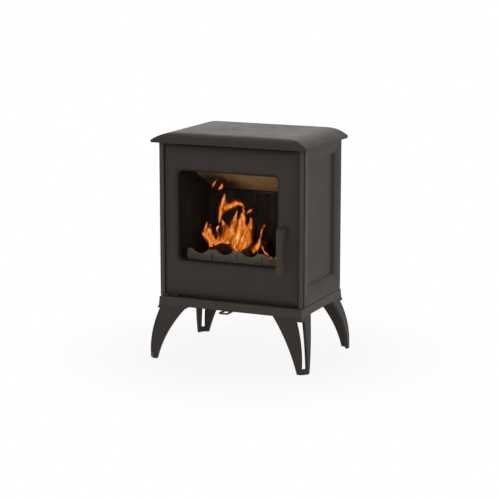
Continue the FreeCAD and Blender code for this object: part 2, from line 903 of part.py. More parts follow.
def make_side_panels():
    inner = half_width - s.side_wall
    lip = half_width - s.side_edge
    rebate = frame_back + s.frame_seam
    radius = s.side_corner_radius
    start = wrap_back + s.frame_seam
    plate = prism("side_plate", "XY", [[
        (lip, start),
        (half_width - radius, start),
        round_corner((half_width - radius, start), (half_width, start + radius), True),
        (half_width, back),
        (inner, back),
        (inner, rebate),
        (lip, rebate),
    ]], base_top, plate_bottom)
    field_y = s.body_depth / 2 - s.side_border - s.side_roll
    field_low = base_top + s.side_field_low
    field_high = plate_bottom - s.side_field_high
    margin = s.side_pad_margin
    floor = half_width - s.side_field_depth
    pad_front = frame_back + s.side_pad_gap
    pad = box(
        "side_pad", side_pad_inside, inner, pad_front, -pad_front, field_low - margin, field_high + margin,
    )
    outside = half_width + s.overrun

    def tray(low, high):
        """Section of the recessed field, with its rounded-over edges."""
        return [
            (outside, low - s.side_roll),
            (half_width, low - s.side_roll),
            *roll((half_width, low - s.side_roll), (floor, low), 1, False),
            (floor, high),
            *roll((floor, high), (half_width, high + s.side_roll), 1, True),
            (outside, high + s.side_roll),
        ]

    recess = common(
        "side_recess",
        prism("side_recess_across", "XY", [tray(-field_y, field_y)], base_top, plate_bottom + s.overrun),
        prism("side_recess_along", "XZ", [tray(field_low, field_high)], front, back),
    )
    joint = box(
        "side_joint", half_width - s.side_joint_depth, outside, front - s.overrun, back + s.overrun,
        base_top - s.overrun, base_top + s.side_joint_gap,
    )
    right = cut("right_side_panel", fuse("side_casting", [plate, pad]), [recess, joint])
    node("right_side_panel", right)
    node("left_side_panel", mirror("left_side_panel", right, MIRROR_X))


# Front frame

def make_front_frame():
    outer = half_width - s.side_edge - s.frame_seam
    post = s.door_half_width + s.door_gap_side
    radius = s.frame_corner_radius
    # The posts cover the front ends of the side panels
    ring = prism("frame_ring", "XY", [[
        (-post, front), (-post, seal_face), (post, seal_face), (post, front),
        (half_width - radius, front),
        round_corner((half_width - radius, front), (half_width, front + radius), True),
        (half_width, wrap_back), (outer, wrap_back), (outer, frame_back),
        (-outer, frame_back), (-outer, wrap_back), (-half_width, wrap_back),
        (-half_width, front + radius),
        round_corner((-half_width, front + radius), (radius - half_width, front), False),
    ]], base_top, plate_bottom)
    aperture = box(
        "frame_aperture", -s.aperture_width / 2, s.aperture_width / 2,
        seal_face - s.overrun, frame_back + s.overrun,
        base_top + s.aperture_low, plate_bottom - s.aperture_high,
    )
    node("front_frame", cut("front_frame", ring, [aperture]))


# Rear panel and flue collar

def bolt_place(turn):
    """Place of a collar bolt on its circle."""
    reach = FreeCAD.Vector(value_of(s.collar_bolt_circle), 0, 0)
    arm = FreeCAD.Rotation(FreeCAD.Vector(0, 0, 1), turn).multVec(reach)
    return arm.x, arm.y


def make_rear_panel():
    edge = half_width - s.side_wall - s.hole_clearance
    plate = box("rear_plate", -edge, edge, back - s.rear_wall, back, base_top, plate_bottom)
    floor = back - s.rear_field_depth
    outside = back + s.overrun
    field_x = edge - s.rear_field_margin
    field_low = base_top + s.rear_field_margin
    field_high = plate_bottom - s.rear_field_margin
    across = [
        (-field_x - s.rear_roll, outside),
        (-field_x - s.rear_roll, back),
        *roll((-field_x - s.rear_roll, back), (-field_x, floor), 0, False),
        (field_x, floor),
        *roll((field_x, floor), (field_x + s.rear_roll, back), 0, True),
        (field_x + s.rear_roll, outside),
    ]
    along = [
        (outside, field_low - s.rear_roll),
        (back, field_low - s.rear_roll),
        *roll((back, field_low - s.rear_roll), (floor, field_low), 1, False),
        (floor, field_high),
        *roll((floor, field_high), (back, field_high + s.rear_roll), 1, True),
        (outside, field_high + s.rear_roll),
    ]
    recess = common(
        "rear_recess",
        prism("rear_recess_across", "XY", [across], base_top, plate_bottom),
        prism("rear_recess_along", "YZ", [along], -edge, edge),
    )
    bore_radius = s.collar_radius - s.collar_wall
    flue = rod(
        "rear_flue_hole", "Y", 0, back - s.rear_wall - s.overrun, flue_height,
        bore_radius, s.rear_wall + s.overrun * 2,
    )
    cuts = [recess, flue]
    collar_cuts = [rod(
        "collar_bore", "Y", 0, floor - s.overrun, flue_height, bore_radius,
        s.collar_reach + s.rear_field_depth + s.overrun * 2,
    )]
    bolts = []
    for index in range(COLLAR_BOLTS):
        turn = (index + 1 / 2) * FULL_TURN_DEGREES / COLLAR_BOLTS
        x = Size(f"({s.collar_bolt_circle.text} * cos({turn}))", bolt_place(turn)[0])
        z = Size(f"({s.collar_bolt_circle.text} * sin({turn}))", bolt_place(turn)[1]) + flue_height
        name = f"collar_bolt_{index + 1}"
        reach = s.rear_wall - s.rear_field_depth
        cuts.append(rod(
            f"{name}_thread", "Y", x, back - s.rear_wall - s.overrun, z,
            s.collar_bolt_radius + s.seat_clearance, s.rear_wall + s.overrun,
        ))
        collar_cuts.append(rod(
            f"{name}_hole", "Y", x, floor - s.overrun, z,
            s.collar_bolt_radius + s.hole_clearance, s.collar_flange + s.overrun * 2,
        ))
        bolts.append(fuse(name, [
            hexagon(f"{name}_head", "Y", x, floor + s.collar_flange, z, s.bolt_head_radius, s.bolt_head),
            rod(f"{name}_shank", "Y", x, floor - reach, z, s.collar_bolt_radius, reach + s.collar_flange),
        ]))
    node("rear_panel", cut("rear_panel", plate, cuts))
    collar = fuse("collar_casting", [
        rod("collar_flange_disc", "Y", 0, floor, flue_height, s.collar_flange_radius, s.collar_flange),
        rod(
            "collar_tube", "Y", 0, floor, flue_height, s.collar_radius,
            s.collar_reach + s.rear_field_depth,
        ),
    ])
    node("flue_collar", cut("flue_collar", collar, collar_cuts))
    node("flue_collar_bolts", group("flue_collar_bolts", bolts))


# Tie rods

def make_tie_rods():
    rods = []
    nuts = []
    for side, sign_x in LEFT_RIGHT:
        for end, sign_y in (("front", -1), ("rear", 1)):
            place = (tie_x * sign_x, tie_y * sign_y)
            name = f"tie_{end}_{side}"
            low = deck_bottom - s.bolt_head - s.overrun
            rods.append(rod(f"{name}_rod", "Z", *place, low, s.tie_radius, plate_inside - low))
            nuts.append(cut(f"{name}_nut", hexagon(
                f"{name}_nut_body", "Z", *place, deck_bottom - s.bolt_head, s.bolt_head_radius, s.bolt_head,
            ), [rod(
                f"{name}_nut_hole", "Z", *place, low, s.tie_radius + s.seat_clearance,
                s.bolt_head + s.overrun * 2,
            )]))
    node("tie_rods", group("tie_rods", rods))
    node("tie_rod_nuts", group("tie_rod_nuts", nuts))


# Linings, hearth, grate and log retainer

def make_linings():
    inner = lining_half_width
    plate = box(
        "lining_plate", inner, inner + s.lining_thickness, lining_front, lining_back,
        base_top, base_top + s.lining_height,
    )
    ledge = box(
        "lining_ledge", inner - s.hearth_ledge, inner, lining_front, lining_back,
        hearth_bottom - s.hearth_ledge_height, hearth_bottom,
    )
    right = fuse("right_lining", [plate, ledge])
    node("right_lining", right)
    node("left_lining", mirror("left_lining", right, MIRROR_X))

    edge = inner + s.lining_thickness
    plate_front = lining_back + s.back_rib_depth
    pieces = [box(
        "back_lining_plate", -edge, edge, plate_front, plate_front + s.back_lining_thickness,
        base_top, base_top + s.back_lining_height,
    )]
    for index in range(BACK_RIBS):
        middle = s.back_rib_pitch * (index - (BACK_RIBS - 1) / 2)
        pieces.append(box(
            f"back_rib_{index + 1}", middle - s.back_rib_width / 2, middle + s.back_rib_width / 2,
            lining_back + s.hearth_gap, plate_front, hearth_top, base_top + s.back_lining_height,
        ))
    node("back_lining", fuse("back_lining", pieces))


def make_hearth():
    edge = lining_half_width - s.hearth_gap
    plate = box(
        "hearth_slab", -edge, edge, frame_back + s.hearth_gap, lining_back, hearth_bottom, hearth_top,
    )
    rim = s.grate_clearance
    seat = box(
        "hearth_grate_seat", -s.grate_width / 2 - rim, s.grate_width / 2 + rim,
        -s.grate_depth / 2 - rim, s.grate_depth / 2 + rim,
        hearth_top - s.grate_thickness, hearth_top + s.overrun,
    )
    hole_x = s.grate_width / 2 - s.grate_seat
    hole_y = s.grate_depth / 2 - s.grate_seat
    hole = box("hearth_grate_hole", -hole_x, hole_x, -hole_y, hole_y, hearth_bottom - s.overrun, hearth_top)
    node("hearth_plate", cut("hearth_plate", plate, [seat, hole]))


def origin_plane(body, role):
    return next(feature for feature in body.Origin.OriginFeatures if feature.Role == role)


def body_sketch(body, name, role, offset):
    sketch = body.newObject("Sketcher::SketchObject", name)
    sketch.AttachmentSupport = [(origin_plane(body, role), "")]
    sketch.MapMode = "FlatFace"
    bind(sketch, "AttachmentOffset.Base.z", offset)
    return sketch


def make_grate():
    body = doc.addObject("PartDesign::Body", "grate")
    outline = body_sketch(body, "grate_outline", "XY_Plane", hearth_top - s.grate_thickness)
    draw(outline, rounded_rectangle(
        -s.grate_width / 2, -s.grate_depth / 2, s.grate_width / 2, s.grate_depth / 2, s.grate_corner_radius,
    ))
    slab = body.newObject("PartDesign::Pad", "grate_slab")
    slab.Profile = outline
    bind(slab, "Length", s.grate_thickness)
    first = -s.grate_slot_pitch * (GRATE_SLOTS - 1) / 2
    slot = body_sketch(body, "grate_slot_outline", "XY_Plane", hearth_top)
    draw(slot, rounded_rectangle(
        first - s.grate_slot_width / 2, -s.grate_slot_length / 2,
        first + s.grate_slot_width / 2, s.grate_slot_length / 2, s.grate_slot_width / 3,
    ))
    pocket = body.newObject("PartDesign::Pocket", "grate_slot")
    pocket.Profile = slot
    pocket.Type = "ThroughAll"
    doc.recompute()
    slots = body.newObject("PartDesign::LinearPattern", "grate_slots")
    slots.Originals = [pocket]
    slots.Direction = (slot, ["H_Axis"])
    bind(slots, "Length", s.grate_slot_pitch * (GRATE_SLOTS - 1))
    slots.Occurrences = GRATE_SLOTS
    body.Tip = slots
    node("grate", body)


def make_log_retainer():
    body = doc.addObject("PartDesign::Body", "log_retainer")
    outline = body_sketch(body, "retainer_outline", "XZ_Plane", -retainer_front)
    edge = s.retainer_pitch * RETAINER_DIPS / 2 + s.retainer_end
    top = hearth_top + s.retainer_height
    corner = s.retainer_corner
    steps = [
        (-edge, hearth_top),
        (edge, hearth_top),
        (edge, top - corner),
        round_corner((edge, top - corner), (edge - corner, top), False),
    ]
    for index in reversed(range(RETAINER_DIPS)):
        middle = s.retainer_pitch * (index - (RETAINER_DIPS - 1) / 2)
        steps.append((middle + s.retainer_dip_width / 2, top))
        steps.append((middle, top - s.retainer_dip, middle - s.retainer_dip_width / 2, top))
    steps.append((-edge + corner, top))
    steps.append(round_corner((-edge + corner, top), (-edge, top - corner), True))
    draw(outline, steps)
    bar = body.newObject("PartDesign::Pad", "retainer_bar")
    bar.Profile = outline
    bar.Reversed = True
    bind(bar, "Length", s.retainer_thickness)
    doc.recompute()
    slit_outline = body_sketch(body, "retainer_slits_outline", "XZ_Plane", -retainer_front)
    for index in range(1, RETAINER_DIPS):
        middle = s.retainer_pitch * (index - RETAINER_DIPS / 2)
        side = s.retainer_slit_width / 2
        draw(slit_outline, [
            (middle - side, hearth_top + s.retainer_slit_low),
            (middle + side, hearth_top + s.retainer_slit_low),
            (middle + side, top - s.retainer_slit_high),
            (middle - side, top - s.retainer_slit_high),
        ])
    slits = body.newObject("PartDesign::Pocket", "retainer_slits")
    slits.Profile = slit_outline
    slits.Type = "ThroughAll"
    body.Tip = slits
    node("log_retainer", body)


# Baffle and its rails

def make_baffle():
    front_low = base_top + s.lining_height - s.baffle_front_drop
    back_low = base_top + s.back_lining_height + s.baffle_rear_rise
    edge = lining_half_width - s.hearth_gap
    node("baffle", prism("baffle", "YZ", [[
        (baffle_front, front_low),
        (baffle_back, back_low),
        (baffle_back, back_low + s.baffle_thickness),
        (baffle_front, front_low + s.baffle_thickness),
    ]], -edge, edge))
    rail = [
        (baffle_front, front_low - s.baffle_rail),
        (baffle_back, back_low - s.baffle_rail),
        (baffle_back, back_low),
        (baffle_front, front_low),
    ]
    inner = lining_half_width
    right = prism("right_baffle_rail", "YZ", [rail], inner - s.baffle_rail, inner)
    node("right_baffle_rail", right)
    node("left_baffle_rail", mirror("left_baffle_rail", right, MIRROR_X))


# Ash pan and its runners

def make_ash_pan():
    half = s.pan_width / 2
    low = base_top + s.pan_runner_height
    top = low + s.pan_height
    tray = box("pan_tray", -half, half, pan_front, pan_back, low, top)
    inside = box(
        "pan_inside", s.pan_wall - half, half - s.pan_wall, pan_front + s.pan_wall, pan_back - s.pan_wall,
        low + s.pan_wall, top + s.overrun,
    )
    grip_half = s.pan_grip_width / 2
    grip_low = low + s.pan_grip_low
    grip_front = pan_front - s.pan_grip_reach
    pieces = [cut("pan_shell", tray, [inside]), box(
        "pan_grip", -grip_half, grip_half, grip_front, grip_front + s.pan_grip_bar,
        grip_low, grip_low + s.pan_grip_height,
    )]
    for side, sign in LEFT_RIGHT:
        ends = sorted((grip_half * sign, (grip_half - s.pan_grip_bar) * sign), key=value_of)
        pieces.append(box(
            f"pan_grip_{side}", *ends, grip_front, pan_front, grip_low, grip_low + s.pan_grip_height,
        ))
    node("ash_pan", fuse("ash_pan", pieces))
    runners = []
    for side, sign in LEFT_RIGHT:
        outer = half - s.pan_runner_inset
        ends = sorted((outer * sign, (outer - s.pan_runner_width) * sign), key=value_of)
        runners.append(box(
            f"pan_runner_{side}", *ends, pan_front + s.pan_runner_inset, pan_back - s.pan_runner_inset,
            base_top, low,
        ))
    node("ash_pan_runners", group("ash_pan_runners", runners))


# Door

def door_profile(low, high, flat_axis):
    """Section of the door: a flat back and a front that falls back to its edges in low arcs."""
    run = s.door_roll * DOOR_ARC_RUN_SHARE
    arc_y = door_field + s.door_crown * DOOR_ARC_FALL_SHARE
    points = [
        (low, door_back),
        (high, door_back),
        (high, door_edge),
        (high - s.door_roll + run, arc_y, high - s.door_roll, door_field),
        (low + s.door_roll, door_field),
        (low + s.door_roll - run, arc_y, low, door_edge),
    ]
    if flat_axis == 0:
        return points
    return [tuple(value for pair in zip(step[1::2], step[0::2]) for value in pair) for step in points]


window_left = -s.window_left
window_right = s.window_right
window_bottom = base_top + s.window_low
window_top = window_bottom + s.window_height
glass_front = door_inside + s.gasket_thickness
glass_back = glass_front + s.glass_thickness
glass_left = window_left + s.reveal - s.glass_overlap
glass_right = window_right - s.reveal + s.glass_overlap
glass_bottom = window_bottom + s.reveal - s.glass_overlap
glass_top = window_top - s.reveal + s.glass_overlap
clip_places = (-s.clip_spacing / 2, s.clip_spacing / 2)


def window_section(index, depth, inset, radius):
    sketch = place_sketch(f"window_section_{index}", "XZ", depth)
    draw(sketch, rounded_rectangle(
        window_left + inset, window_bottom + inset, window_right - inset, window_top - inset, radius,
    ))
    return sketch


def make_door():
    block = common(
        "door_block",
        prism(
            "door_across", "XY", [door_profile(door_left, door_right, 0)],
            door_bottom - s.overrun, door_top + s.overrun,
        ),
        prism(
            "door_along", "YZ", [door_profile(door_bottom, door_top, 1)],
            door_left - s.overrun, door_right + s.overrun,
        ),
    )
    depth = s.door_wall
    sections = [
        window_section(0, door_field - s.overrun, 0, s.window_radius),
        window_section(1, door_field, 0, s.window_radius),
    ]
    for index, (deep, wide) in enumerate(zip(REVEAL_DEPTH_SHARES, REVEAL_WIDTH_SHARES), start=2):
        inset = s.reveal * wide
        radius = s.window_radius - inset / 2
        sections.append(window_section(index, door_field + depth * deep, inset, radius))
    sections.append(window_section(5, door_inside + s.overrun, s.reveal, s.window_radius - s.reveal / 2))
    window = doc.addObject("Part::Loft", "door_window")
    window.Sections = sections
    window.Solid = True
    window.Ruled = True
    pocket = box(
        "door_pocket", door_left + s.door_rim, door_right - s.door_rim, door_inside, door_back + s.overrun,
        door_bottom + s.door_rim, door_top - s.door_rim,
    )
    groove_floor = door_back - s.rope_depth
    groove = prism(
        "door_rope_groove", "XZ", rope_ring(s.rope_clearance), groove_floor, door_back + s.overrun,
    )
    spindle_hole = rod(
        "door_spindle_hole", "Y", s.handle_x, door_field - s.overrun, handle_axis,
        s.bush_radius + s.seat_clearance, s.door_wall + s.overrun * 2,
    )
    cuts = [window, pocket, groove, spindle_hole]
    for name, x, z in clip_screw_places():
        cuts.append(rod(
            f"{name}_thread", "Y", x, door_inside - s.small_screw_reach - s.overrun, z,
            s.small_screw_radius + s.seat_clearance, s.small_screw_reach + s.overrun * 2,
        ))
    for name, x, y, bottom in hinge_screw_places():
        face = door_bottom if bottom else door_top
        low = face - s.overrun if bottom else face - s.hinge_screw_reach
        cuts.append(rod(
            f"{name}_thread", "Z", x, y, low, s.hinge_screw_radius + s.seat_clearance,
            s.hinge_screw_reach + s.overrun,
        ))
    node("door", cut("door", block, cuts))
    node("door_rope", prism("door_rope", "XZ", rope_ring(0), groove_floor, seal_face - s.running_gap))


def rope_ring(spread):
    """Outer and inner outline of the rope in its groove."""
    outlines = []
    for inset, grow, radius in (
        (s.rope_inset, spread, s.rope_radius),
        (s.rope_inset + s.rope_groove, -spread, s.rope_radius / 2),
    ):
        outlines.append(rounded_rectangle(
            door_left + inset - grow, door_bottom + inset - grow,
            door_right - inset + grow, door_top - inset + grow, radius,
        ))
    return outlines


def make_glass():
    radius = s.window_radius / 2
    outline = rounded_rectangle(glass_left, glass_bottom, glass_right, glass_top, radius)
    node("door_glass", prism("door_glass", "XZ", [outline], glass_front, glass_back))
    inset = s.gasket_width
    inner = rounded_rectangle(
        glass_left + inset, glass_bottom + inset, glass_right - inset, glass_top - inset, radius,
    )
    node("glass_gasket", prism("glass_gasket", "XZ", [outline, inner], door_inside, glass_front))


def clip_screw_places():
    places = []
    middle = (window_left + window_right) / 2
    for edge, level, sign in (("low", glass_bottom, -1), ("high", glass_top, 1)):
        for index, shift in enumerate(clip_places, start=1):
            z = level + (s.clip_foot / 2 + s.clip_thickness) * sign
            places.append((f"clip_screw_{edge}_{index}", middle + shift, z))
    return places


def make_glass_clips():
    middle = (window_left + window_right) / 2
    t = s.clip_thickness
    clips = []
    screws = []
    for edge, level, sign in (("low", glass_bottom, -1), ("high", glass_top, 1)):
        web = level + s.running_gap * sign
        for index, shift in enumerate(clip_places, start=1):
            name = f"clip_{edge}_{index}"
            x = middle + shift
            profile = [
                (door_inside, web), (door_inside, web + (s.clip_foot + t) * sign),
                (door_inside + t, web + (s.clip_foot + t) * sign), (door_inside + t, web + t * sign),
                (glass_back + t, web + t * sign), (glass_back + t, web - s.clip_grip * sign),
                (glass_back, web - s.clip_grip * sign), (glass_back, web),
            ]
            strip = prism(f"{name}_strip", "YZ", [profile], x - s.clip_width / 2, x + s.clip_width / 2)
            clips.append((name, strip))
    holes = clip_screw_places()
    finished = []
    for (name, strip), (screw, x, z) in zip(clips, holes):
        hole = rod(
            f"{name}_hole", "Y", x, door_inside - s.overrun, z, s.small_screw_radius + s.hole_clearance,
            s.clip_thickness + s.overrun * 2,
        )
        finished.append(cut(name, strip, [hole]))
        seat = door_inside + s.clip_thickness
        screws.append(fuse(screw, [
            rod(f"{screw}_head", "Y", x, seat, z, s.small_screw_head_radius, s.small_screw_head),
            rod(
                f"{screw}_shank", "Y", x, door_inside - s.small_screw_reach, z, s.small_screw_radius,
                s.small_screw_reach + s.clip_thickness,
            ),
        ]))
    node("glass_clips", group("glass_clips", finished))
    node("clip_screws", group("clip_screws", screws))


# Hinge

arm_bottom = base_top + s.hinge_washer + s.running_gap
arm_top = plate_bottom - s.running_gap * 2


def hinge_screw_places():
    places = []
    y = (door_edge + door_back) / 2
    for level, bottom in (("low", True), ("high", False)):
        for index in (1, 2):
            x = hinge_x + s.hinge_arm_length * index / 3 + s.hinge_eye_radius / 2
            places.append((f"hinge_screw_{level}_{index}", x, y, bottom))
    return places


def make_hinge():
    screws = []
    for level, bottom in (("low", True), ("high", False)):
        low = arm_bottom if bottom else door_top
        high = door_bottom if bottom else arm_top
        arm = fuse(f"hinge_arm_{level}_body", [
            rod(f"hinge_eye_{level}", "Z", hinge_x, hinge_y, low, s.hinge_eye_radius, high - low),
            box(
                f"hinge_bar_{level}", hinge_x, hinge_x + s.hinge_arm_length, hinge_y,
                door_back - s.hinge_screw_radius, low, high,
            ),
        ])
        cuts = [rod(
            f"hinge_eye_hole_{level}", "Z", hinge_x, hinge_y, low - s.overrun, hinge_hole_radius,
            high - low + s.overrun * 2,
        )]
        for name, x, y, screw_bottom in hinge_screw_places():
            if screw_bottom != bottom:
                continue
            cuts.append(rod(
                f"{name}_hole", "Z", x, y, low - s.overrun, s.hinge_screw_radius + s.hole_clearance,
                high - low + s.overrun * 2,
            ))
            screws.append(make_hinge_screw(name, x, y, low, high, bottom))
        arm_name = "bottom_hinge_arm" if bottom else "top_hinge_arm"
        node(arm_name, cut(arm_name, arm, cuts))
    node("hinge_arm_screws", group("hinge_arm_screws", screws))

    pin_low = base_top - s.hinge_pin_seat
    node("bottom_hinge_pin", rod(
        "bottom_hinge_pin", "Z", hinge_x, hinge_y, pin_low, s.hinge_pin_radius,
        door_bottom - s.running_gap - pin_low,
    ))
    pin_high = door_top + s.running_gap
    node("top_hinge_pin", rod(
        "top_hinge_pin", "Z", hinge_x, hinge_y, pin_high, s.hinge_pin_radius,
        plate_bottom + s.hinge_pin_seat - pin_high,
    ))
    node("hinge_washer", cut("hinge_washer", rod(
        "hinge_washer_disc", "Z", hinge_x, hinge_y, base_top, s.hinge_eye_radius, s.hinge_washer,
    ), [rod(
        "hinge_washer_hole", "Z", hinge_x, hinge_y, base_top - s.overrun, hinge_hole_radius,
        s.hinge_washer + s.overrun * 2,
    )]))


def make_hinge_screw(name, x, y, low, high, bottom):
    """A screw through a hinge arm into the door, its thread hidden in the casting."""
    start = low if bottom else door_top - s.hinge_screw_reach + s.overrun
    end = door_bottom + s.hinge_screw_reach - s.overrun if bottom else high
    return rod(name, "Z", x, y, start, s.hinge_screw_radius, end - start)


# Handle and latch

def make_handle():
    top = s.handle_top
    bottom = top - s.handle_length
    blade_back = handle_front + s.handle_thickness
    stem_end = door_field - s.bush_proud - s.running_gap
    stem_low = top - s.handle_stem
    radius = s.handle_thickness / 2
    round_top = s.handle_edge_radius * 2
    profile = [
        (handle_front, top - round_top),
        round_corner((handle_front, top - round_top), (handle_front + round_top, top), False),
        (stem_end, top),
        (stem_end, stem_low),
        (
            (stem_end + blade_back) / 2, stem_low - s.handle_gusset * HANDLE_SAG_SHARE,
            blade_back, stem_low - s.handle_gusset,
        ),
        (blade_back, bottom + radius),
        (handle_front + radius, bottom, handle_front, bottom + radius),
    ]
    lever = prism(
        "handle_blank", "YZ", [profile], s.handle_x - s.handle_width / 2, s.handle_x + s.handle_width / 2,
    )

    def on_side_face(edge):
        bounds = edge.BoundBox
        clear_of_door = bounds.YMin < value_of(stem_end) - value_of(s.overrun)
        return bounds.XLength < value_of(s.seat_clearance) and clear_of_door

    rounded = fillet("handle_rounded", lever, s.handle_edge_radius, on_side_face)
    socket = rod(
        "handle_socket", "Y", s.handle_x, stem_end - s.spindle_grip, handle_axis,
        s.spindle_radius + s.seat_clearance, s.spindle_grip + s.overrun,
    )
    node("handle_lever", cut("handle_lever", rounded, [socket]))

    spindle_start = stem_end - s.spindle_grip
    nut_back = tongue_back + s.spindle_nut_thickness
    node("handle_spindle", rod(
        "handle_spindle", "Y", s.handle_x, spindle_start, handle_axis, s.spindle_radius,
        nut_back + s.spindle_end - spindle_start,
    ))

    def ring(name, start, radius, length, bore):
        return cut(name, rod(f"{name}_body", "Y", s.handle_x, start, handle_axis, radius, length), [rod(
            f"{name}_bore", "Y", s.handle_x, start - s.overrun, handle_axis, bore, length + s.overrun * 2,
        )])

    bush_start = door_field - s.bush_proud
    bush_back = door_inside + s.bush_flange
    bush = fuse("bush_blank", [
        rod("bush_sleeve", "Y", s.handle_x, bush_start, handle_axis, s.bush_radius, bush_back - bush_start),
        rod("bush_collar", "Y", s.handle_x, door_inside, handle_axis, s.bush_flange_radius, s.bush_flange),
    ])
    node("spindle_bush", cut("spindle_bush", bush, [rod(
        "bush_bore", "Y", s.handle_x, bush_start - s.overrun, handle_axis,
        s.spindle_radius + s.fit_clearance, bush_back - bush_start + s.overrun * 2,
    )]))
    fixed_bore = s.spindle_radius + s.seat_clearance
    ring_start = bush_back + s.running_gap
    node("spindle_collar", ring(
        "spindle_collar", ring_start, s.collar_ring_radius, tongue_front - ring_start, fixed_bore,
    ))
    half = s.tongue_height / 2
    tongue = box(
        "tongue_bar", s.handle_x - s.tongue_heel, s.handle_x + s.tongue_length, tongue_front, tongue_back,
        handle_axis - half, handle_axis + half,
    )
    node("latch_tongue", cut("latch_tongue", tongue, [rod(
        "tongue_bore", "Y", s.handle_x, tongue_front - s.overrun, handle_axis, fixed_bore,
        s.tongue_thickness + s.overrun * 2,
    )]))
    nut = hexagon(
        "spindle_nut_body", "Y", s.handle_x, tongue_back, handle_axis,
        s.collar_ring_radius, s.spindle_nut_thickness,
    )
    node("spindle_nut", cut("spindle_nut", nut, [rod(
        "spindle_nut_bore", "Y", s.handle_x, tongue_back - s.overrun, handle_axis, fixed_bore,
        s.spindle_nut_thickness + s.overrun * 2,
    )]))
    keeper_start = s.aperture_width / 2 + s.overrun
    node("latch_keeper", box(
        "latch_keeper", keeper_start, keeper_start + s.keeper_width,
        frame_back, frame_back + s.keeper_thickness,
        handle_axis - s.keeper_height / 2, handle_axis + s.keeper_height / 2,
    ))


# Air slide and its guides

def make_air_slide():
    left = s.air_offset - s.air_plate_width / 2
    right = s.air_offset + s.air_plate_width / 2
    plate_high = deck_bottom - s.running_gap
    plate_low = plate_high - s.air_plate_thickness
    plate = box("air_plate", left, right, air_front, air_back, plate_low, plate_high)
    slots = []
    for index in range(AIR_SLOTS):
        middle = air_slot_first + s.air_slot_pitch * index + s.air_travel
        slots.append(box(
            f"air_plate_slot_{index + 1}",
            s.air_offset - s.air_slot_length / 2, s.air_offset + s.air_slot_length / 2,
            middle - s.air_slot_width / 2, middle + s.air_slot_width / 2,
            plate_low - s.overrun, plate_high + s.overrun,
        ))
    tab_left = s.air_offset - s.air_tab_width / 2
    tab_right = s.air_offset + s.air_tab_width / 2
    tab_front = -base_half_depth - s.air_tab_ahead
    tab_high = s.leg_height - s.air_tab_below
    tab_low = tab_high - s.air_tab_thickness
    riser_front = air_front
    riser_back = riser_front + s.air_plate_thickness
    rim = s.air_tab_rim
    outer = rounded_rectangle(tab_left, tab_front, tab_right, riser_back, s.air_tab_radius)
    inner = rounded_rectangle(
        tab_left + rim, tab_front + rim, tab_right - rim, tab_front + s.air_tab_loop - rim,
        s.air_tab_radius / 2,
    )
    tab = prism("air_tab", "XY", [outer, inner], tab_low, tab_high)
    riser = box(
        "air_riser", tab_left + s.air_tab_radius, tab_right - s.air_tab_radius, riser_front, riser_back,
        tab_low, plate_high,
    )
    node("air_slide", fuse("air_slide", [cut("air_valve", plate, slots), riser, tab]))
    gap = s.running_gap
    lip_high = plate_low - gap
    lip_low = lip_high - s.air_guide_lip_thickness
    guide_front = air_front + s.air_travel
    for side, sign in LEFT_RIGHT:
        edge = (s.air_plate_width / 2 + gap) * sign + s.air_offset
        outer_edge = edge + s.air_guide_width * sign
        inner_edge = edge - s.air_guide_lip * sign
        guide = prism(f"{side}_air_guide", "XZ", [[
            (inner_edge, lip_low), (outer_edge, lip_low), (outer_edge, deck_bottom),
            (edge, deck_bottom), (edge, lip_high), (inner_edge, lip_high),
        ]], guide_front, air_back)
        node(f"{side}_air_guide", guide)


make_base_plate()
make_legs()
make_top_plate()
make_flue_cover()
make_side_panels()
make_front_frame()
make_rear_panel()
make_tie_rods()
make_linings()
make_hearth()
make_grate()
make_log_retainer()
make_baffle()
make_ash_pan()
make_door()
make_glass()
make_glass_clips()
make_hinge()
make_handle()
make_air_slide()
doc.recompute()

# Check every object, then write the pieces
for thing in doc.Objects:
    if "Invalid" in thing.State or "Error" in thing.State:
        raise RuntimeError(f"{thing.Label} failed: {thing.State}")
for thing in nodes:
    if thing.Shape.isNull() or not thing.Shape.isValid() or not thing.Shape.Solids:
        raise RuntimeError(f"{thing.Label} has no valid shape")
os.makedirs("parts", exist_ok=True)
for thing in nodes:
    thing.Shape.exportStep(os.path.join("parts", f"{thing.Label}.step"))
print(len(nodes), "pieces written")
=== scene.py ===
# %% [markdown]
# # A cast iron wood stove
# The stove is a box of bolted iron castings on four splayed legs, painted matt anthracite, with a glazed
# door. The castings come ready-made from the CAD frame. This lesson gives each of them a finish, adds the
# soft seals, a painted shadow up the front corners and the fire, and then sets up the floor, the light and
# the camera.

# %% Load the frame
import math

import bpy
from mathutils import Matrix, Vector


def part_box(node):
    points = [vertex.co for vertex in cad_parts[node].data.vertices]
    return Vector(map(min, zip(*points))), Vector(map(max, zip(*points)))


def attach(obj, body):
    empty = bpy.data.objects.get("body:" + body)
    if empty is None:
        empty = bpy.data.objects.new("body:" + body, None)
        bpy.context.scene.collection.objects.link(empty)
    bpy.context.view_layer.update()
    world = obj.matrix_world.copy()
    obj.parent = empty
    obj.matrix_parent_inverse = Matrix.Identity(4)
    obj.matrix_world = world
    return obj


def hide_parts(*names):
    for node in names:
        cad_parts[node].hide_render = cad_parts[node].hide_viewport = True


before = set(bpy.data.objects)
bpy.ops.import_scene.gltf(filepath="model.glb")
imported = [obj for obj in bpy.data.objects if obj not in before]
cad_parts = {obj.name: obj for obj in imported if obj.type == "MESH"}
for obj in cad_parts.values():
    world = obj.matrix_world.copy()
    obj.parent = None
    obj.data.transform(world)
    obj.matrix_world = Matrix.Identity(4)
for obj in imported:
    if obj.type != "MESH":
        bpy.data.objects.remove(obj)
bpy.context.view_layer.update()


# %% [markdown]
# ## Helpers for materials
# Colours are easiest to judge as sRGB hex values, but shaders work in linear light, so one function converts
# them. Another turns a real size into the scale of a pattern. A third adds a shader node, sets its values
# and links its inputs, which keeps each finish short to read. The last two start an empty material and put a
# finished one on CAD nodes.

# %% Colour and node helpers
MM_PER_METRE = 1000


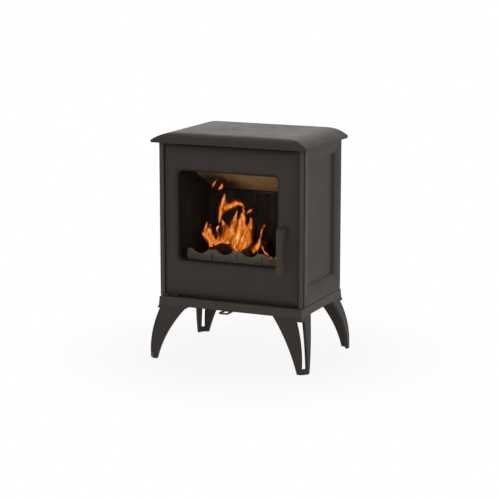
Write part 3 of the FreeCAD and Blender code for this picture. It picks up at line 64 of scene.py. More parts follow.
def srgb(hex_text):
    """Turn an sRGB hex colour into linear light."""
    channels = [int(hex_text[place:place + 2], 16) / 255 for place in (1, 3, 5)]
    linear = [c / 12.92 if c <= 0.04045 else ((c + 0.055) / 1.055) ** 2.4 for c in channels]
    return (*linear, 1.0)


def per_mm(size):
    """Pattern scale for a feature of this many millimetres, on Object coordinates in metres."""
    return MM_PER_METRE / size


def add_node(tree, kind, inputs=None, **settings):
    """Add a node; an input that is given a socket is linked, any other value is set."""
    node = tree.nodes.new(kind)
    for name, value in settings.items():
        setattr(node, name, value)
    for name, value in (inputs or {}).items():
        if isinstance(value, bpy.types.NodeSocket):
            tree.links.new(value, node.inputs[name])
        else:
            node.inputs[name].default_value = value
    return node


def new_material(name):
    """An empty node material and its tree."""
    material = bpy.data.materials.new(name)
    material.use_nodes = True
    material.node_tree.nodes.clear()
    return material, material.node_tree


def dress(material, node_names):
    """Give CAD nodes a finish."""
    for name in node_names:
        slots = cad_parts[name].data.materials
        slots.clear()
        slots.append(material)
    print(material.name, "on", len(node_names), "nodes")


# %% [markdown]
# ## Painted shade on the door
# The door's paint is darkened where the casting falls back behind the raised field, which is painted shade
# for these recesses. It is darkened most in the window's reveal, where it is painted shade with some soot.
# It could be painted on by hand, but the shape itself tells where the shade goes: the depth of each point
# behind the field, and its place inside the window's outline.

# %% Painted shade on the door
# Depths over which the door's paint darkens: painted shade at its edges and in the window's reveal
EDGE_SHADE_DEPTH = 0.017
REVEAL_SHADE_AND_SOOT_DEPTH = 0.006
MOST_DOOR_SHADE = 0.8


def painted_shade_on_door(tree, place, front, window):
    """How much painted shade each point gets, from its depth behind the front and its place in the window's
    box.
    """
    depth = add_node(tree, "ShaderNodeSeparateXYZ", {"Vector": place}).outputs["Y"]
    # Painted shade where the door falls back behind its raised field, deepest at its edges
    film = add_node(tree, "ShaderNodeMapRange", {
        "Value": depth, "From Min": front, "From Max": front + EDGE_SHADE_DEPTH, "To Max": MOST_DOOR_SHADE,
    })
    # Painted shade in the window's reveal, with some soot
    soot = add_node(tree, "ShaderNodeMapRange", {
        "Value": depth, "From Min": front, "From Max": front + REVEAL_SHADE_AND_SOOT_DEPTH, "To Max": MOST_DOOR_SHADE,
    })
    middle = [(a + b) / 2 for a, b in zip(*window)]
    half = [(b - a) / 2 for a, b in zip(*window)]
    away = add_node(tree, "ShaderNodeVectorMath", {0: place, 1: middle}, operation="SUBTRACT")
    shares = add_node(tree, "ShaderNodeVectorMath", {
        0: away.outputs["Vector"], 1: half,
    }, operation="DIVIDE")
    sides = add_node(tree, "ShaderNodeVectorMath", {0: shares.outputs["Vector"]}, operation="ABSOLUTE")
    reach = add_node(tree, "ShaderNodeSeparateXYZ", {"Vector": sides.outputs["Vector"]})
    farthest = add_node(tree, "ShaderNodeMath", {
        0: reach.outputs["X"], 1: reach.outputs["Z"],
    }, operation="MAXIMUM")
    inside = add_node(tree, "ShaderNodeMath", {
        0: farthest.outputs["Value"], 1: 1.0,
    }, operation="LESS_THAN")
    reveal = add_node(tree, "ShaderNodeMath", {
        0: soot.outputs["Result"], 1: inside.outputs["Value"],
    }, operation="MULTIPLY")
    return add_node(tree, "ShaderNodeMath", {
        0: film.outputs["Result"], 1: reveal.outputs["Value"],
    }, operation="MAXIMUM").outputs["Value"]


# %% [markdown]
# ## Stove paint on sand-cast iron
# The outside is grey iron cast in sand, then sprayed with matt anthracite stove paint. The eye sees a warm
# dark grey, an even satin sheen at a low angle, and the faint orange peel that the sand leaves. A picture of
# paint could be wrapped round each casting, but noise on Object coordinates has no seams and keeps its real
# scale. The real grain is under a millimetre, too fine to show here, so it is drawn a few millimetres wide.
# A Bevel node softens the sharp CAD edges, as paint and fettling do. Use has worn the paint a little paler
# on the handle and the base. The posts beside the door are painted paler still: painted light, as they look
# brighter than the door beside them.

# %% Stove paint
PAINT_GRAIN_MM = 4
PAINT_CLOUD_MM = 90
PAINTED_EDGE = 0.0015
PEEL_DEPTH = 0.0006


def paint_finish(name, deep, pale, front=None, window=None):
    """Matt stove paint between two shades. With the window's box it gets painted shade behind the front,
    with some soot in the reveal.
    """
    material, tree = new_material(name)
    place = add_node(tree, "ShaderNodeTexCoord").outputs["Object"]
    cloud = add_node(tree, "ShaderNodeTexNoise", {
        "Vector": place, "Scale": per_mm(PAINT_CLOUD_MM), "Detail": 4.0,
    })
    grain = add_node(tree, "ShaderNodeTexNoise", {
        "Vector": place, "Scale": per_mm(PAINT_GRAIN_MM), "Detail": 3.0,
    })
    tint = add_node(tree, "ShaderNodeMix", {
        "Factor": cloud.outputs["Fac"], "A": srgb(deep), "B": srgb(pale),
    }, data_type="RGBA").outputs["Result"]
    if window is not None:
        # The door's recesses are darkened: painted shade, with some soot in the reveal
        tint = add_node(tree, "ShaderNodeMix", {
            "Factor": painted_shade_on_door(tree, place, front, window), "A": tint, "B": srgb("#0b0a09"),
        }, data_type="RGBA").outputs["Result"]
    sheen_range = add_node(tree, "ShaderNodeMapRange", {
        "Value": cloud.outputs["Fac"], "From Min": 0.3, "From Max": 0.7, "To Min": 0.5, "To Max": 0.58,
    })
    edge = add_node(tree, "ShaderNodeBevel", {"Radius": PAINTED_EDGE}, samples=4)
    peel = add_node(tree, "ShaderNodeBump", {
        "Height": grain.outputs["Fac"], "Normal": edge.outputs["Normal"],
        "Strength": 0.12, "Distance": PEEL_DEPTH,
    })
    paint = add_node(tree, "ShaderNodeBsdfPrincipled", {
        "Base Color": tint, "Roughness": sheen_range.outputs["Result"], "Normal": peel.outputs["Normal"],
        "Metallic": 0.0, "IOR": 1.45, "Specular IOR Level": 0.22,
    })
    add_node(tree, "ShaderNodeOutputMaterial", {"Surface": paint.outputs["BSDF"]})
    return material


# %% Painted castings
REVEAL_PAST_PANE = 0.0055
dress(paint_finish("anthracite_stove_paint", "#3c3531", "#443d38"), [
    "leg_front_left", "leg_front_right", "leg_rear_left", "leg_rear_right",
    "left_side_panel", "right_side_panel", "rear_panel", "top_plate", "flue_cover", "flue_collar",
])
dress(paint_finish("rubbed_stove_paint", "#46403a", "#4e4741"), ["base_plate", "handle_lever"])
# The frame's posts are painted paler than the door: painted light for their brighter look
dress(paint_finish("frame_paint_with_painted_light", "#524b45", "#5a534d"), ["front_frame"])

pane_low, pane_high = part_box("door_glass")
window = ([v - REVEAL_PAST_PANE for v in pane_low], [v + REVEAL_PAST_PANE for v in pane_high])
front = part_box("door")[0][1]
# The door's paint carries painted shade in its recesses and in the window's reveal
dress(paint_finish("door_paint_with_painted_shade", "#3e3733", "#463f3a", front=front, window=window), ["door"])

# %% [markdown]
# ## Sooty iron inside the firebox
# The linings, hearth and grate are bare castings that live in the fire. Soot makes them almost black and
# dull, and fly ash leaves pale grey dust in blotches. A broad noise mixes the two, and a finer one gives the
# scale on the iron. The soot is mixed slightly blue, because the orange light of the fire would turn a
# neutral one brown.

# %% Sooty iron
SOOT_BLOTCH_MM = 45
SCALE_MM = 5
SCALE_DEPTH = 0.0008
sooty_iron, tree = new_material("sooty_cast_iron")
place = add_node(tree, "ShaderNodeTexCoord").outputs["Object"]
blotch = add_node(tree, "ShaderNodeTexNoise", {
    "Vector": place, "Scale": per_mm(SOOT_BLOTCH_MM), "Detail": 6.0,
})
scale = add_node(tree, "ShaderNodeTexNoise", {"Vector": place, "Scale": per_mm(SCALE_MM), "Detail": 4.0})
dust = add_node(tree, "ShaderNodeMapRange", {
    "Value": blotch.outputs["Fac"], "From Min": 0.5, "From Max": 0.78, "To Min": 0.0, "To Max": 0.55,
})
soot = add_node(tree, "ShaderNodeMix", {
    "Factor": dust.outputs["Result"], "A": srgb("#1d2022"), "B": srgb("#3c3e40"),
}, data_type="RGBA")
pitted = add_node(tree, "ShaderNodeBump", {
    "Height": scale.outputs["Fac"], "Strength": 0.2, "Distance": SCALE_DEPTH,
})
iron = add_node(tree, "ShaderNodeBsdfPrincipled", {
    "Base Color": soot.outputs["Result"], "Normal": pitted.outputs["Normal"],
    "Roughness": 0.8, "Metallic": 0.0,
})
add_node(tree, "ShaderNodeOutputMaterial", {"Surface": iron.outputs["BSDF"]})
dress(sooty_iron, ["left_lining", "right_lining", "back_lining", "hearth_plate", "grate"])

# %% [markdown]
# ## Ashy iron of the log retainer
# The log retainer stands at the cool front of the fire, where the air washes over it. It stays grey, with a
# film of fly ash that is thicker in some places than in others. The two noises of the sooty iron do it too,
# in paler shades.

# %% Ashy iron
ASH_FILM_MM = 35
ashy_iron, tree = new_material("ashy_cast_iron")
place = add_node(tree, "ShaderNodeTexCoord").outputs["Object"]
film = add_node(tree, "ShaderNodeTexNoise", {
    "Vector": place, "Scale": per_mm(ASH_FILM_MM), "Detail": 6.0,
})
scale = add_node(tree, "ShaderNodeTexNoise", {"Vector": place, "Scale": per_mm(SCALE_MM), "Detail": 4.0})
ash_tint = add_node(tree, "ShaderNodeMix", {
    "Factor": film.outputs["Fac"], "A": srgb("#4a4541"), "B": srgb("#6b655f"),
}, data_type="RGBA")
pitted = add_node(tree, "ShaderNodeBump", {
    "Height": scale.outputs["Fac"], "Strength": 0.2, "Distance": SCALE_DEPTH,
})
iron = add_node(tree, "ShaderNodeBsdfPrincipled", {
    "Base Color": ash_tint.outputs["Result"], "Normal": pitted.outputs["Normal"],
    "Roughness": 0.75, "Metallic": 0.0,
})
add_node(tree, "ShaderNodeOutputMaterial", {"Surface": iron.outputs["BSDF"]})
dress(ashy_iron, ["log_retainer"])

# %% [markdown]
# ## Dull steel fittings
# Bolts, tie rods, clips, rails and the latch are rolled or turned steel, a little oxidised by the heat. They
# look grey and metallic, with fine streaks along the work and a few browner spots. Anisotropic gloss would
# be truer on the turned pieces, but they are too small for it to show, so a Mapping node stretches a noise
# into streaks.

# %% Dull steel
STREAK_MM = 2.5
STREAK_STRETCH = (1.0, 1.0, 0.15)
HEAT_TINT_MM = 18
dull_steel, tree = new_material("oxidised_rolled_steel")
place = add_node(tree, "ShaderNodeTexCoord").outputs["Object"]
stretched = add_node(tree, "ShaderNodeMapping", {"Vector": place, "Scale": STREAK_STRETCH})
streak = add_node(tree, "ShaderNodeTexNoise", {
    "Vector": stretched.outputs["Vector"], "Scale": per_mm(STREAK_MM), "Detail": 3.0,
})
heat = add_node(tree, "ShaderNodeTexNoise", {
    "Vector": place, "Scale": per_mm(HEAT_TINT_MM), "Detail": 3.0,
})
heat_share = add_node(tree, "ShaderNodeMapRange", {
    "Value": heat.outputs["Fac"], "From Min": 0.5, "From Max": 0.75, "To Min": 0.0, "To Max": 0.6,
})
steel_tint = add_node(tree, "ShaderNodeMix", {
    "Factor": heat_share.outputs["Result"], "A": srgb("#77736e"), "B": srgb("#5a4a3d"),
}, data_type="RGBA")
steel_rough = add_node(tree, "ShaderNodeMapRange", {
    "Value": streak.outputs["Fac"], "From Min": 0.3, "From Max": 0.7, "To Min": 0.32, "To Max": 0.5,
})
steel = add_node(tree, "ShaderNodeBsdfPrincipled", {
    "Base Color": steel_tint.outputs["Result"], "Roughness": steel_rough.outputs["Result"], "Metallic": 1.0,
})
add_node(tree, "ShaderNodeOutputMaterial", {"Surface": steel.outputs["BSDF"]})
dress(dull_steel, [
    "leg_bolts", "flue_cover_clamp", "flue_cover_bolt", "flue_collar_bolts", "tie_rods", "tie_rod_nuts",
    "left_baffle_rail", "right_baffle_rail", "latch_keeper",
    "left_air_guide", "right_air_guide", "glass_clips", "clip_screws", "hinge_arm_screws", "spindle_bush",
    "handle_spindle", "spindle_collar", "latch_tongue", "spindle_nut", "ash_pan_runners",
])

# %% [markdown]
# ## Blackened steel
# The air slide and the ash pan are sheet that has been blackened: black oxide is darker and slightly shinier
# than the paint, with a faint cloudiness from rolling. The hinges have the same coat, painted darker and
# duller
# still: painted shade, as they sit in the dark gap beside the door. One function makes both coats from two
# tints and a range of roughness.

# %% Blackened steel
ROLLING_CLOUD_MM = 30


def oxide_finish(name, deep, pale, least_rough, most_rough):
    """Black oxide on rolled steel, cloudy between two tints."""
    material, tree = new_material(name)
    place = add_node(tree, "ShaderNodeTexCoord").outputs["Object"]
    rolling = add_node(tree, "ShaderNodeTexNoise", {
        "Vector": place, "Scale": per_mm(ROLLING_CLOUD_MM), "Detail": 5.0,
    })
    oxide = add_node(tree, "ShaderNodeMix", {
        "Factor": rolling.outputs["Fac"], "A": srgb(deep), "B": srgb(pale),
    }, data_type="RGBA")
    rough = add_node(tree, "ShaderNodeMapRange", {
        "Value": rolling.outputs["Fac"], "From Min": 0.3, "From Max": 0.7,
        "To Min": least_rough, "To Max": most_rough,
    })
    coat = add_node(tree, "ShaderNodeBsdfPrincipled", {
        "Base Color": oxide.outputs["Result"], "Roughness": rough.outputs["Result"], "Metallic": 0.0,
    })
    add_node(tree, "ShaderNodeOutputMaterial", {"Surface": coat.outputs["BSDF"]})
    return material


sheet_oxide = oxide_finish("blackened_sheet_steel", "#1f1e1d", "#302e2c", least_rough=0.38, most_rough=0.55)
dress(sheet_oxide, ["air_slide", "ash_pan"])
# The hinges' coat is darker still: painted shade for the gap they sit in
hinge_oxide_and_shade = oxide_finish("hinge_steel_painted_shade", "#0c0b0b", "#171615", least_rough=0.6, most_rough=0.75)
dress(hinge_oxide_and_shade, [
    "bottom_hinge_arm", "top_hinge_arm", "bottom_hinge_pin", "top_hinge_pin", "hinge_washer",
])

# %% [markdown]
# ## Vermiculite board
# The baffle is pressed from expanded mica flakes. It is tan and quite matt, made of visible flakes a few
# millimetres wide, each a slightly different shade, and smoke browns it in patches. Voronoi cells give the
# flakes. Where the tips of the flames lick the board, soot has blackened it: the distance from that spot
# drives the stain, and the smoke noise frays its rim.

# %% Vermiculite
FLAKE_MM = 5
FLAKE_DEPTH = 0.001
SMOKE_PATCH_MM = 70
LICKED_SPOT = (-0.15, 0.08, 0.515)
STAIN_REACH = (0.07, 0.15)
STAIN_FRAY = 0.06
vermiculite, tree = new_material("pressed_vermiculite")
place = add_node(tree, "ShaderNodeTexCoord").outputs["Object"]
flakes = add_node(tree, "ShaderNodeTexVoronoi", {"Vector": place, "Scale": per_mm(FLAKE_MM)})
smoke = add_node(tree, "ShaderNodeTexNoise", {
    "Vector": place, "Scale": per_mm(SMOKE_PATCH_MM), "Detail": 4.0,
})
flake_shade = add_node(tree, "ShaderNodeSeparateColor", {"Color": flakes.outputs["Color"]})
flake_tint = add_node(tree, "ShaderNodeMix", {
    "Factor": flake_shade.outputs["Red"], "A": srgb("#ae8f65"), "B": srgb("#dabc8d"),
}, data_type="RGBA")
smoked = add_node(tree, "ShaderNodeMix", {
    "Factor": smoke.outputs["Fac"], "A": flake_tint.outputs["Result"], "B": srgb("#8a6d49"),
}, data_type="RGBA")
from_spot = add_node(tree, "ShaderNodeVectorMath", {0: place, 1: LICKED_SPOT}, operation="DISTANCE")
frayed = add_node(tree, "ShaderNodeMath", {
    0: smoke.outputs["Fac"], 1: STAIN_FRAY, 2: from_spot.outputs["Value"],
}, operation="MULTIPLY_ADD")
stain = add_node(tree, "ShaderNodeMapRange", {
    "Value": frayed.outputs["Value"], "From Min": STAIN_REACH[0], "From Max": STAIN_REACH[1],
    "To Min": 0.9, "To Max": 0.0,
})
sooted = add_node(tree, "ShaderNodeMix", {
    "Factor": stain.outputs["Result"], "A": smoked.outputs["Result"], "B": srgb("#17120e"),
}, data_type="RGBA")
flaky = add_node(tree, "ShaderNodeBump", {
    "Height": flakes.outputs["Distance"], "Strength": 0.4, "Distance": FLAKE_DEPTH,
})
board = add_node(tree, "ShaderNodeBsdfPrincipled", {
    "Base Color": sooted.outputs["Result"], "Normal": flaky.outputs["Normal"], "Roughness": 0.9,
})
add_node(tree, "ShaderNodeOutputMaterial", {"Surface": board.outputs["BSDF"]})
dress(vermiculite, ["baffle"])

# %% [markdown]
# ## Fire glass
# The window is clear glass ceramic, polished flat, with the faintest warm tint. It shows the fire and, only
# at a very low angle, the room. Its index of refraction is set far below that of real glass, almost as if
# the pane had an anti-glare coat: this room is white all round, and bare glass would lay a grey veil over
# the fire. The values are the same all over, so they sit on the shader's sockets.

# %% Fire glass
fire_glass, tree = new_material("clear_glass_ceramic")
pane = add_node(tree, "ShaderNodeBsdfPrincipled", {
    "Base Color": srgb("#f7f3ec"), "Roughness": 0.02, "IOR": 1.04, "Transmission Weight": 1.0,
})
add_node(tree, "ShaderNodeOutputMaterial", {"Surface": pane.outputs["BSDF"]})
dress(fire_glass, ["door_glass"])

# %% [markdown]
# ## Three helpers for new pieces
# New pieces are modelled by hand, with the same operators as in Blender's window. An operator acts on all
# that is selected, so each piece starts from an empty selection. At its end the piece is named, its place is
# moved into its mesh, it gets its finish and it is told which body it moves with.

# %% Piece helpers
def start_piece():
    """Leave nothing selected, so that the next operators act on the new piece alone."""
    bpy.ops.object.select_all(action="DESELECT")


def shape_with(piece, kind, **settings):
    """Add a modifier, set it and apply it."""
    modifier = piece.modifiers.new(kind.lower(), kind)
    for name, value in settings.items():
        setattr(modifier, name, value)
    bpy.ops.object.modifier_apply(modifier=modifier.name)


def settle(piece, name, material, body, crease_degrees=50):
    """Name the active piece, move its place into its mesh, dress it and let it ride on a body."""
    piece.name = name
    piece.data.name = name
    bpy.ops.object.transform_apply(location=True, rotation=True, scale=True)
    bpy.ops.object.shade_smooth_by_angle(angle=math.radians(crease_degrees))
    piece.data.materials.clear()
    piece.data.materials.append(material)
    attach(piece, body)
    print(name, "has", len(piece.data.polygons), "faces and rides on", body)


# %% [markdown]
# ## Glass fibre yarn
# The door is sealed by a braided rope of glass fibre, and the pane sits on a flat woven tape of the same
# yarn. Both are charcoal grey and quite matt. The braid is real geometry below; here a fine noise gives the
# fibres, and a slow one the uneven dye.

# %% Yarn finish
FIBRE_MM = 1.2
FIBRE_DEPTH = 0.0004
DYE_PATCH_MM = 30
glass_yarn, tree = new_material("charcoal_glass_yarn")
place = add_node(tree, "ShaderNodeTexCoord").outputs["Object"]
fibres = add_node(tree, "ShaderNodeTexNoise", {"Vector": place, "Scale": per_mm(FIBRE_MM), "Detail": 2.0})
dye = add_node(tree, "ShaderNodeTexNoise", {
    "Vector": place, "Scale": per_mm(DYE_PATCH_MM), "Detail": 3.0,
})
yarn_tint = add_node(tree, "ShaderNodeMix", {
    "Factor": dye.outputs["Fac"], "A": srgb("#292725"), "B": srgb("#45413d"),
}, data_type="RGBA")
fuzz = add_node(tree, "ShaderNodeBump", {
    "Height": fibres.outputs["Fac"], "Strength": 0.5, "Distance": FIBRE_DEPTH,
})
yarn = add_node(tree, "ShaderNodeBsdfPrincipled", {
    "Base Color": yarn_tint.outputs["Result"], "Normal": fuzz.outputs["Normal"], "Roughness": 0.9,
    "Sheen Weight": 0.2, "Sheen Roughness": 0.5,
})
add_node(tree, "ShaderNodeOutputMaterial", {"Surface": yarn.outputs["BSDF"]})
print(glass_yarn.name, "for the rope and the tape")

# %% [markdown]
# ## Door rope
# The rope is a braid of eight strands, four laid one way and four the other, round a soft core. It is glued
# into a groove round the back of the door and squashed by the frame, so it follows the groove and is never
# free. A smooth tube with a drawn braid would look flat at its rim, so the strands are real. One lay of the
# braid is made straight, with the Screw modifier. The Array modifier repeats it to the groove's length, the
# Curve modifier lays it round the groove, and a scale flattens it as the closed door does.

# %% Line of the groove
QUARTER_TURN = math.pi / 2
ROPE_WIDTH = 0.009
ROPE_CORNER = 0.0075
rope_low, rope_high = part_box("door_rope")
rope_middle = [(a + b) / 2 for a, b in zip(rope_low, rope_high)]
groove_width = rope_high[0] - rope_low[0] - ROPE_WIDTH
groove_height = rope_high[2] - rope_low[2] - ROPE_WIDTH

start_piece()
bpy.ops.mesh.primitive_plane_add(size=1.0)
groove_line = bpy.context.object
bpy.ops.object.mode_set(mode="EDIT")
bpy.ops.mesh.select_all(action="SELECT")
bpy.ops.transform.resize(value=(groove_width, groove_height, 1.0), center_override=(0, 0, 0))
bpy.ops.mesh.bevel(offset=ROPE_CORNER, segments=6, affect="VERTICES")
bpy.ops.mesh.delete(type="ONLY_FACE")
bpy.ops.object.mode_set(mode="OBJECT")
corners = groove_line.data.vertices
groove_length = sum(
    (corners[start].co - corners[end].co).length
    for start, end in (edge.vertices for edge in groove_line.data.edges)
)
groove_line.location = rope_middle
groove_line.rotation_euler = (QUARTER_TURN, 0, 0)
bpy.ops.object.transform_apply(location=True, rotation=True, scale=True)
bpy.ops.object.convert(target="CURVE")
print("groove length:", round(groove_length, 3))

# %% One lay of the braid
LAY_LENGTH = 0.026
STRAND_RADIUS = 0.00125
STRANDS_EACH_WAY = 4
lays = round(groove_length / LAY_LENGTH)
lay = groove_length / lays


def lay_strands(count, radius, off_axis, turn, sides, steps):
    """Lay yarns side by side along X, each winding through this turn in one lay."""
    start_piece()
    bpy.ops.mesh.primitive_circle_add(vertices=sides, radius=radius, location=(0, 0, off_axis),
                                      rotation=(0, QUARTER_TURN, 0))
    strands = bpy.context.object
    bpy.ops.object.transform_apply(location=True, rotation=True, scale=True)
    bpy.ops.object.mode_set(mode="EDIT")
    bpy.ops.mesh.select_all(action="SELECT")
    for _ in range(count - 1):
        bpy.ops.mesh.duplicate()
        bpy.ops.transform.rotate(value=math.tau / count, orient_axis="X", center_override=(0, 0, 0))
    bpy.ops.object.mode_set(mode="OBJECT")
    shape_with(strands, "SCREW", axis="X", angle=turn, screw_offset=lay, steps=steps, render_steps=steps)
    return strands


strand_line = ROPE_WIDTH / 2 - STRAND_RADIUS
right_laid = lay_strands(STRANDS_EACH_WAY, STRAND_RADIUS, strand_line, math.tau, sides=6, steps=16)
left_laid = lay_strands(STRANDS_EACH_WAY, STRAND_RADIUS, strand_line, -math.tau, sides=6, steps=16)
core = lay_strands(1, strand_line, off_axis=0.0, turn=0.0, sides=8, steps=4)
print("lays of braid:", lays)

# %% Braid round the door
start_piece()
for strands in (left_laid, core, right_laid):
    strands.select_set(True)
bpy.context.view_layer.objects.active = right_laid
bpy.ops.object.join()
braid = bpy.context.object
shape_with(braid, "ARRAY", count=lays, use_relative_offset=False, use_constant_offset=True,
           constant_offset_displace=(lay, 0, 0))
shape_with(braid, "CURVE", object=groove_line, deform_axis="POS_X")
bpy.ops.object.mode_set(mode="EDIT")
bpy.ops.mesh.select_all(action="SELECT")
bpy.ops.mesh.remove_doubles(threshold=0.0001)
bpy.ops.mesh.normals_make_consistent(inside=False)
flatten = (rope_high[1] - rope_low[1]) / ROPE_WIDTH
bpy.ops.transform.resize(value=(1, flatten, 1), center_override=rope_middle)
bpy.ops.object.mode_set(mode="OBJECT")
settle(braid, "braided_door_rope", glass_yarn, "door")
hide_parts("door_rope")
bpy.data.objects.remove(groove_line)

# %% [markdown]
# ## Glass tape
# A flat tape of the same yarn lies between the door and the pane and takes up the unevenness of the casting.
# It is a thin frame as large as the pane: a rounded plate, inset by the tape's width, opened in the middle
# and given its thickness. Its soft edges come from a small bevel.

# %% Glass tape
TAPE_WIDTH = 0.010
TAPE_EDGE = 0.0006
PANE_CORNER = 0.011
tape_low, tape_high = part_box("glass_gasket")
tape_size = [high - low for low, high in zip(tape_low, tape_high)]
tape_thickness = tape_size[1]

start_piece()
bpy.ops.mesh.primitive_plane_add(size=1.0)
tape = bpy.context.object
bpy.ops.object.mode_set(mode="EDIT")
bpy.ops.mesh.select_all(action="SELECT")
bpy.ops.transform.resize(value=(tape_size[0], tape_size[2], 1.0), center_override=(0, 0, 0))
bpy.ops.mesh.bevel(offset=PANE_CORNER, segments=5, affect="VERTICES")
bpy.ops.mesh.inset(thickness=TAPE_WIDTH)
bpy.ops.mesh.delete(type="FACE")
bpy.ops.mesh.select_all(action="SELECT")
bpy.ops.mesh.extrude_region_move(TRANSFORM_OT_translate={"value": (0, 0, tape_thickness)})
bpy.ops.mesh.select_all(action="SELECT")
bpy.ops.mesh.normals_make_consistent(inside=False)
bpy.ops.object.mode_set(mode="OBJECT")
shape_with(tape, "BEVEL", width=TAPE_EDGE, segments=2, limit_method="ANGLE")
tape.location = ((tape_low[0] + tape_high[0]) / 2, tape_high[1], (tape_low[2] + tape_high[2]) / 2)
tape.rotation_euler = (QUARTER_TURN, 0, 0)
settle(tape, "woven_glass_tape", glass_yarn, "door")
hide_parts("glass_gasket")

# %% [markdown]
# ## Painted shadow at the corners
# The posts wrap round the front ends of the side panels, and the narrow gap between them is in shade, a dark
# line up each corner. That shade is drawn as a thin near-black strip laid on the corner, flat, dull and
# slightly uneven: a painted shadow. A dark stripe in the paint could show it, but the paint's gloss makes a
# stripe pale, so the strip is a piece of its own with nearly no gloss. A bar is drawn out to the height of
# the frame, cut across many times, rounded, and then roughened by a Displace modifier.

# %% Painted shadow finish
GAP_SHADE_GRIT_MM = 3
# A near black with almost no gloss: painted shadow for the gap at each front corner
gap_shade_finish, tree = new_material("painted_shadow_black")
place = add_node(tree, "ShaderNodeTexCoord").outputs["Object"]
grit = add_node(tree, "ShaderNodeTexNoise", {
    "Vector": place, "Scale": per_mm(GAP_SHADE_GRIT_MM), "Detail": 3.0,
})
gap_shade_tint = add_node(tree, "ShaderNodeMix", {
    "Factor": grit.outputs["Fac"], "A": srgb("#0b0a09"), "B": srgb("#191716"),
}, data_type="RGBA")
gap_shade_bsdf = add_node(tree, "ShaderNodeBsdfPrincipled", {
    "Base Color": gap_shade_tint.outputs["Result"], "Roughness": 0.95, "Specular IOR Level": 0.03,
})
add_node(tree, "ShaderNodeOutputMaterial", {"Surface": gap_shade_bsdf.outputs["BSDF"]})
print(gap_shade_finish.name, "for the corners")

# %% Two lines of painted shadow
STRIP_THICKNESS = 0.0008
STRIP_WIDTH = 0.0038
STRIP_BEHIND_FRONT = 0.0031
STRIP_CUTS = 80
STRIP_EDGE = 0.0002
STRIP_ROUGHEN_DEPTH = 0.0003
strip_roughening = bpy.data.textures.new("uneven_dark_strip", "CLOUDS")
strip_roughening.noise_scale = 0.012
frame_low, frame_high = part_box("front_frame")
strip_size = (STRIP_THICKNESS, STRIP_WIDTH, frame_high[2] - frame_low[2])


def draw_shadow_gap(name, side):
    """A flat, uneven near-black strip up one corner of the frame: a painted shadow."""
    start_piece()
    middle = (side * frame_high[0], frame_low[1] + STRIP_BEHIND_FRONT, (frame_low[2] + frame_high[2]) / 2)
    bpy.ops.mesh.primitive_cube_add(size=1.0, location=middle)
    shadow_strip = bpy.context.object
    bpy.ops.object.transform_apply(location=True, rotation=True, scale=True)
    bpy.ops.object.mode_set(mode="EDIT")
    bpy.ops.mesh.select_all(action="SELECT")
    bpy.ops.transform.resize(value=strip_size, center_override=middle)
    bpy.ops.mesh.select_mode(type="EDGE")
    bpy.ops.mesh.select_all(action="DESELECT")
    bpy.ops.object.mode_set(mode="OBJECT")
    corners = shadow_strip.data.vertices
    for edge in shadow_strip.data.edges:
        low, high = (corners[index].co.z for index in edge.vertices)
        edge.select = abs(high - low) > STRIP_WIDTH
    bpy.ops.object.mode_set(mode="EDIT")
    bpy.ops.mesh.subdivide(number_cuts=STRIP_CUTS)
    bpy.ops.mesh.select_mode(type="VERT")
    bpy.ops.object.mode_set(mode="OBJECT")
    shape_with(shadow_strip, "BEVEL", width=STRIP_EDGE, segments=2, limit_method="ANGLE")
    shape_with(shadow_strip, "DISPLACE", texture=strip_roughening, texture_coords="LOCAL", strength=STRIP_ROUGHEN_DEPTH,
               mid_level=0.6)
    settle(shadow_strip, name, gap_shade_finish, "stove")


# Painted shadow up both front corners, where the posts meet the side panels
draw_shadow_gap("right_painted_shadow_gap", side=1)
draw_shadow_gap("left_painted_shadow_gap", side=-1)

# %% [markdown]
# ## Charred logs
# The fire has burnt three logs down to black stumps. Two lie front to back, so their round ends face the
# window, and one lies across behind them. Burnt wood breaks up into small blocks with grey ash along the
# cracks, and a few cracks still glow. Voronoi cells give the blocks, and the distance to their edges drives
# cracks, ash and glow. Each log starts as a cylinder, is split by a bisect, and is then remeshed evenly, so
# that a Displace modifier can make it knotty all over.

# %% Charred wood
CHAR_BLOCK_MM = 11
CHAR_BLOCK_DEPTH = 0.003
EMBER_PATCH_MM = 40
charred_wood, tree = new_material("charred_wood")
place = add_node(tree, "ShaderNodeTexCoord").outputs["Object"]
blocks = add_node(tree, "ShaderNodeTexVoronoi", {
    "Vector": place, "Scale": per_mm(CHAR_BLOCK_MM),
}, feature="DISTANCE_TO_EDGE")
heat = add_node(tree, "ShaderNodeTexNoise", {
    "Vector": place, "Scale": per_mm(EMBER_PATCH_MM), "Detail": 3.0,
})
crack = add_node(tree, "ShaderNodeMapRange", {
    "Value": blocks.outputs["Distance"], "From Min": 0.02, "From Max": 0.10, "To Min": 1.0, "To Max": 0.0,
})
hot = add_node(tree, "ShaderNodeMapRange", {
    "Value": heat.outputs["Fac"], "From Min": 0.56, "From Max": 0.7, "To Min": 0.0, "To Max": 0.12,
})
glow = add_node(tree, "ShaderNodeMath", {
    0: crack.outputs["Result"], 1: hot.outputs["Result"],
}, operation="MULTIPLY")
char_tint = add_node(tree, "ShaderNodeMix", {
    "Factor": crack.outputs["Result"], "A": srgb("#060505"), "B": srgb("#171412"),
}, data_type="RGBA")
blocky = add_node(tree, "ShaderNodeBump", {
    "Height": blocks.outputs["Distance"], "Strength": 0.7, "Distance": CHAR_BLOCK_DEPTH,
})
char_wood = add_node(tree, "ShaderNodeBsdfPrincipled", {
    "Base Color": char_tint.outputs["Result"], "Normal": blocky.outputs["Normal"], "Roughness": 0.75,
    "Emission Color": srgb("#e0480f"), "Emission Strength": glow.outputs["Value"],
})
add_node(tree, "ShaderNodeOutputMaterial", {"Surface": char_wood.outputs["BSDF"]})
print(charred_wood.name, "for the logs")

# %% Three logs
SPLIT_SHARE = 0.7
SPLIT_SLOPE = (0, 0.3, -1)
BURNT_EDGE_SHARE = 0.12
KNOT_SHARE = 0.5
knots = bpy.data.textures.new("log_knots", "CLOUDS")
knots.noise_scale = 0.035
grate_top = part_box("grate")[1][2]


